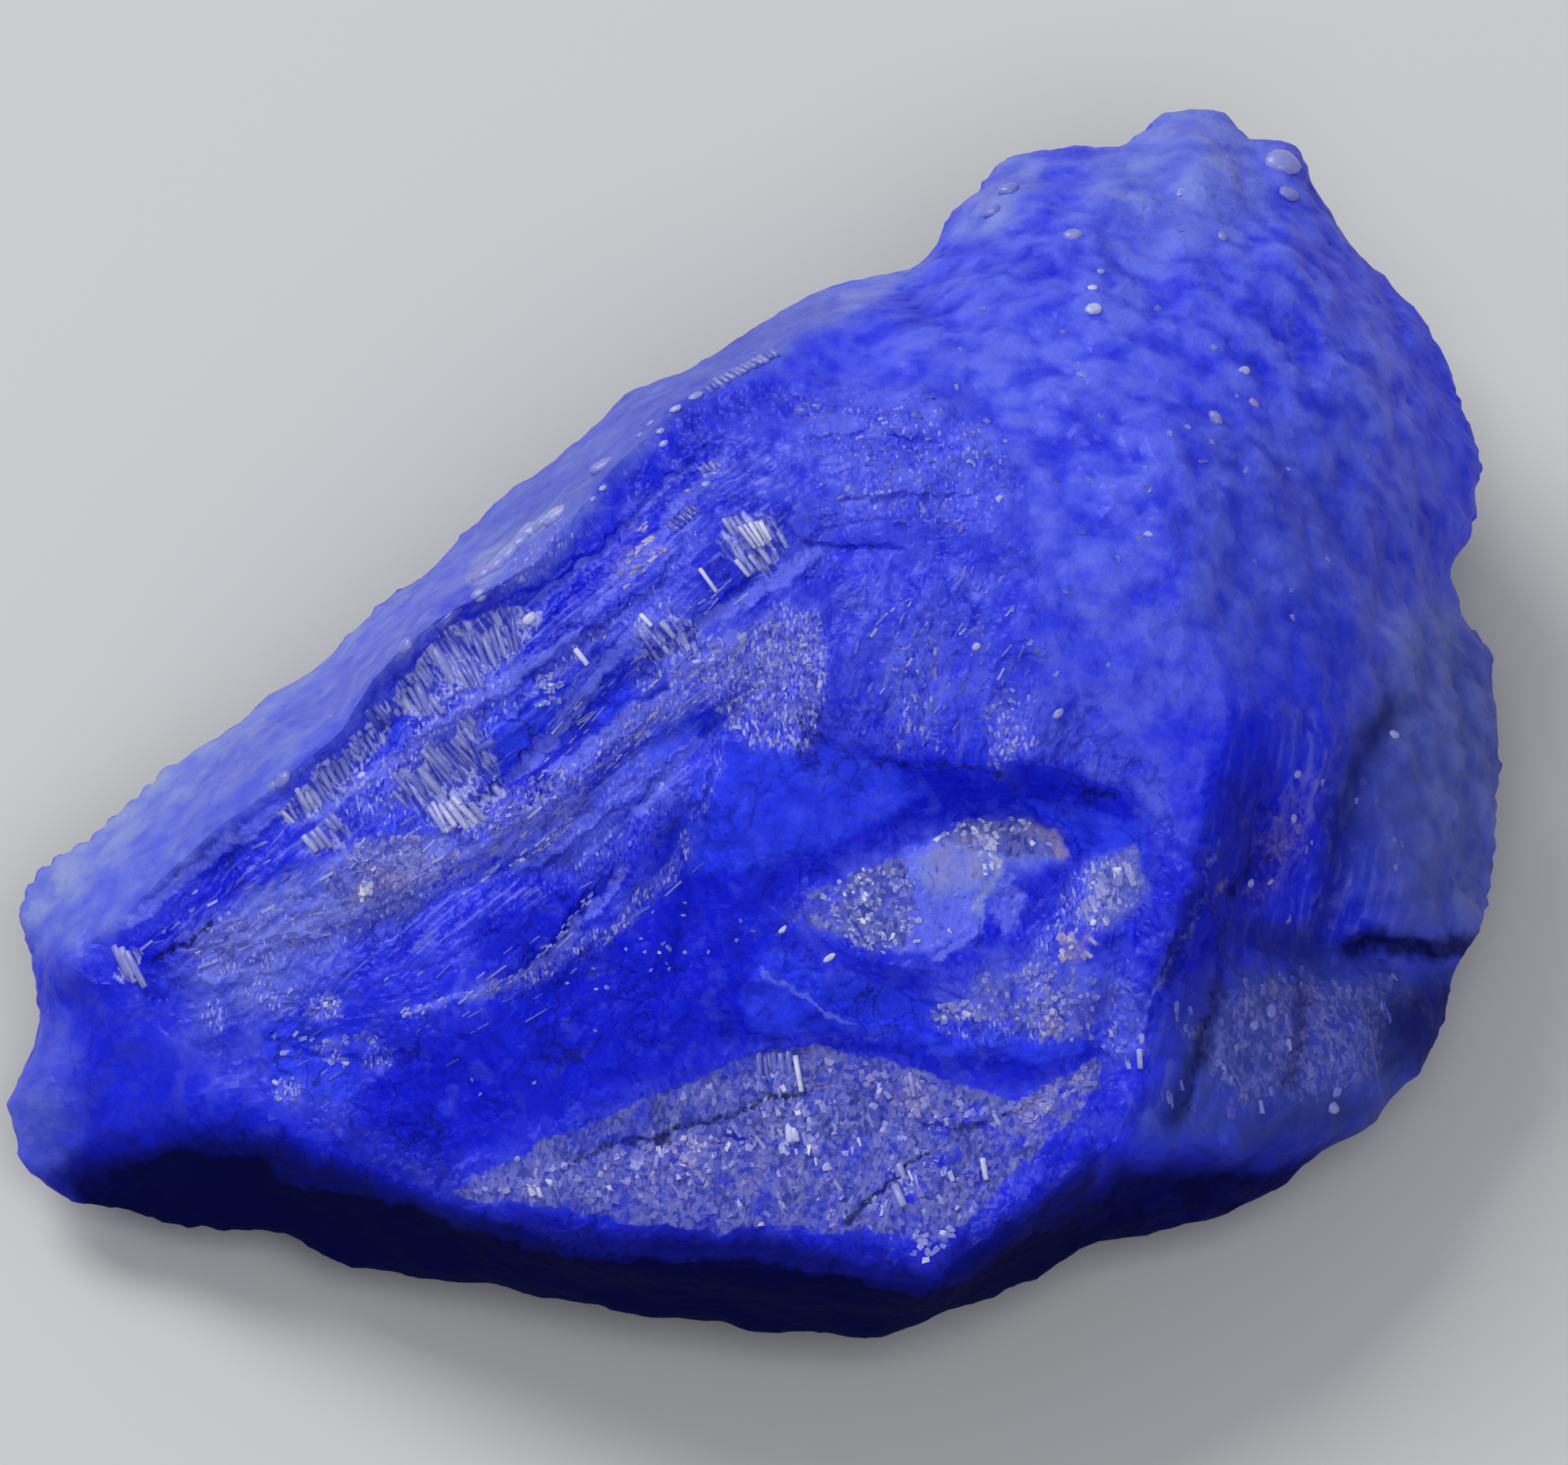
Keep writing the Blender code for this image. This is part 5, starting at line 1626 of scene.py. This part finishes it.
def beadsOf(skin):
    dice = random.Random(17)
    heap = newHeap()
    for (u, v), length, width, paleness, stain in beads["rows"]:
        stand = standOn(skin, u, v, dice.uniform(20, 50), length)
        if stand is None:
            continue
        lean, spot, _ = stand
        long, wide = length / pixelsPerMetre, width / pixelsPerMetre
        verts = bmesh.ops.create_icosphere(
            heap, subdivisions=2, radius=0.5,
            matrix=Matrix.Translation(spot) @ lean
            @ Matrix.Diagonal((long, wide, wide * beads["height"], 1)),
        )["verts"]
        for vert in verts:
            vert.co += beads["unevenness"] * wide * pushAt(vert.co * 4000)
        coloured(heap, verts, paleness, stain)
    return finishedHeap(heap, "beads", True)


def pointIn(dice, outline):
    # a random pixel inside a drawn outline
    low = [min(c) for c in zip(*outline)]
    high = [max(c) for c in zip(*outline)]
    while True:
        u, v = dice.uniform(low[0], high[0]), dice.uniform(low[1], high[1])
        within = False
        for (u1, v1), (u2, v2) in zip(outline, outline[1:] + outline[:1]):
            if (v1 > v) != (v2 > v) and u < (u2 - u1) * (v - v1) / (v2 - v1) + u1:
                within = not within
        if within:
            return u, v


def grainsOf(skin):
    # blocks with knocked corners, half sunk in the skin
    dice = random.Random(23)
    heap = newHeap()
    bare = finishes["dark"] + finishes["bare"]
    for outline, count, lengths, widths, way, spread, paleness, stain in grains["rows"]:
        for _ in range(count):
            u, v = pointIn(dice, outline)
            stand = standOn(skin, u, v, way + dice.uniform(-spread, spread), 8)
            if stand is None or painted(np.array([(u, v)]), bare)[0] > grains["keptOff"]:
                continue
            lean, spot, normal = stand
            long = stretched(lean, dice.uniform(*lengths) * grains["size"])
            wide = dice.uniform(*widths) * grains["size"] / pixelsPerMetre
            high = wide * dice.uniform(0.14, 0.34)
            rise = grains["lift"] / 1000 - high * dice.uniform(0.1, 0.4)
            verts = bmesh.ops.create_cube(
                heap, size=1.0, matrix=Matrix.Translation(spot + normal * rise) @ lean
                @ Matrix.Diagonal((long, wide, high, 1)) @ Matrix.Rotation(dice.uniform(-0.4, 0.4), 4, "X")
                @ Matrix.Rotation(dice.uniform(-0.3, 0.3), 4, "Y"),
            )["verts"]
            for vert in verts:
                vert.co += Vector([dice.uniform(-0.2, 0.2) * wide for _ in range(3)])
            bright = 0.35 if dice.random() < grains["brightShare"] else dice.uniform(-0.24, 0.12)
            coloured(heap, verts, unit(paleness + bright), unit(stain + dice.uniform(-0.2, 0.2)))
    return finishedHeap(heap, "grains", False)


def clearCorundum():
    # rungs, beads and grains: blue to nearly colourless, a few stained
    material, tree, shader = newMaterial("clearCorundum", 0.2)
    shader.inputs["Roughness"].default_value = 0.28
    grain = newNode(tree, "ShaderNodeTexNoise")
    grain.inputs["Scale"].default_value = 7000
    feed(tree, grain.inputs["Vector"], newNode(tree, "ShaderNodeTexCoord").outputs["Object"])
    paleness = reckon(tree, "SUBTRACT", marked(tree, "paleness"), 0.15)
    ramp = newNode(tree, "ShaderNodeValToRGB")
    feed(tree, ramp.inputs["Fac"], scaled(tree, grain.outputs["Fac"], 0.3, paleness))
    stops = ramp.color_ramp.elements
    for number, (at, colour) in enumerate(clearBlues):
        stop = stops[number] if number < 2 else stops.new(at)
        stop.position = at
        stop.color = colour
    stained = stepped(tree, marked(tree, "stained"), (0.1, 1.0))
    feed(tree, shader.inputs["Base Color"], mixed(tree, stained, ramp.outputs["Color"], blues["stain"]))
    return material


def main():
    cameraAndLight()
    piece = brokenStone()
    piece.data.materials.clear()
    piece.data.materials.append(blueCorundum())
    clear = clearCorundum()
    skin = skinOf(piece)
    for bits in (rungsOf(skin), beadsOf(skin), grainsOf(skin)):
        bits.data.materials.append(clear)


main()
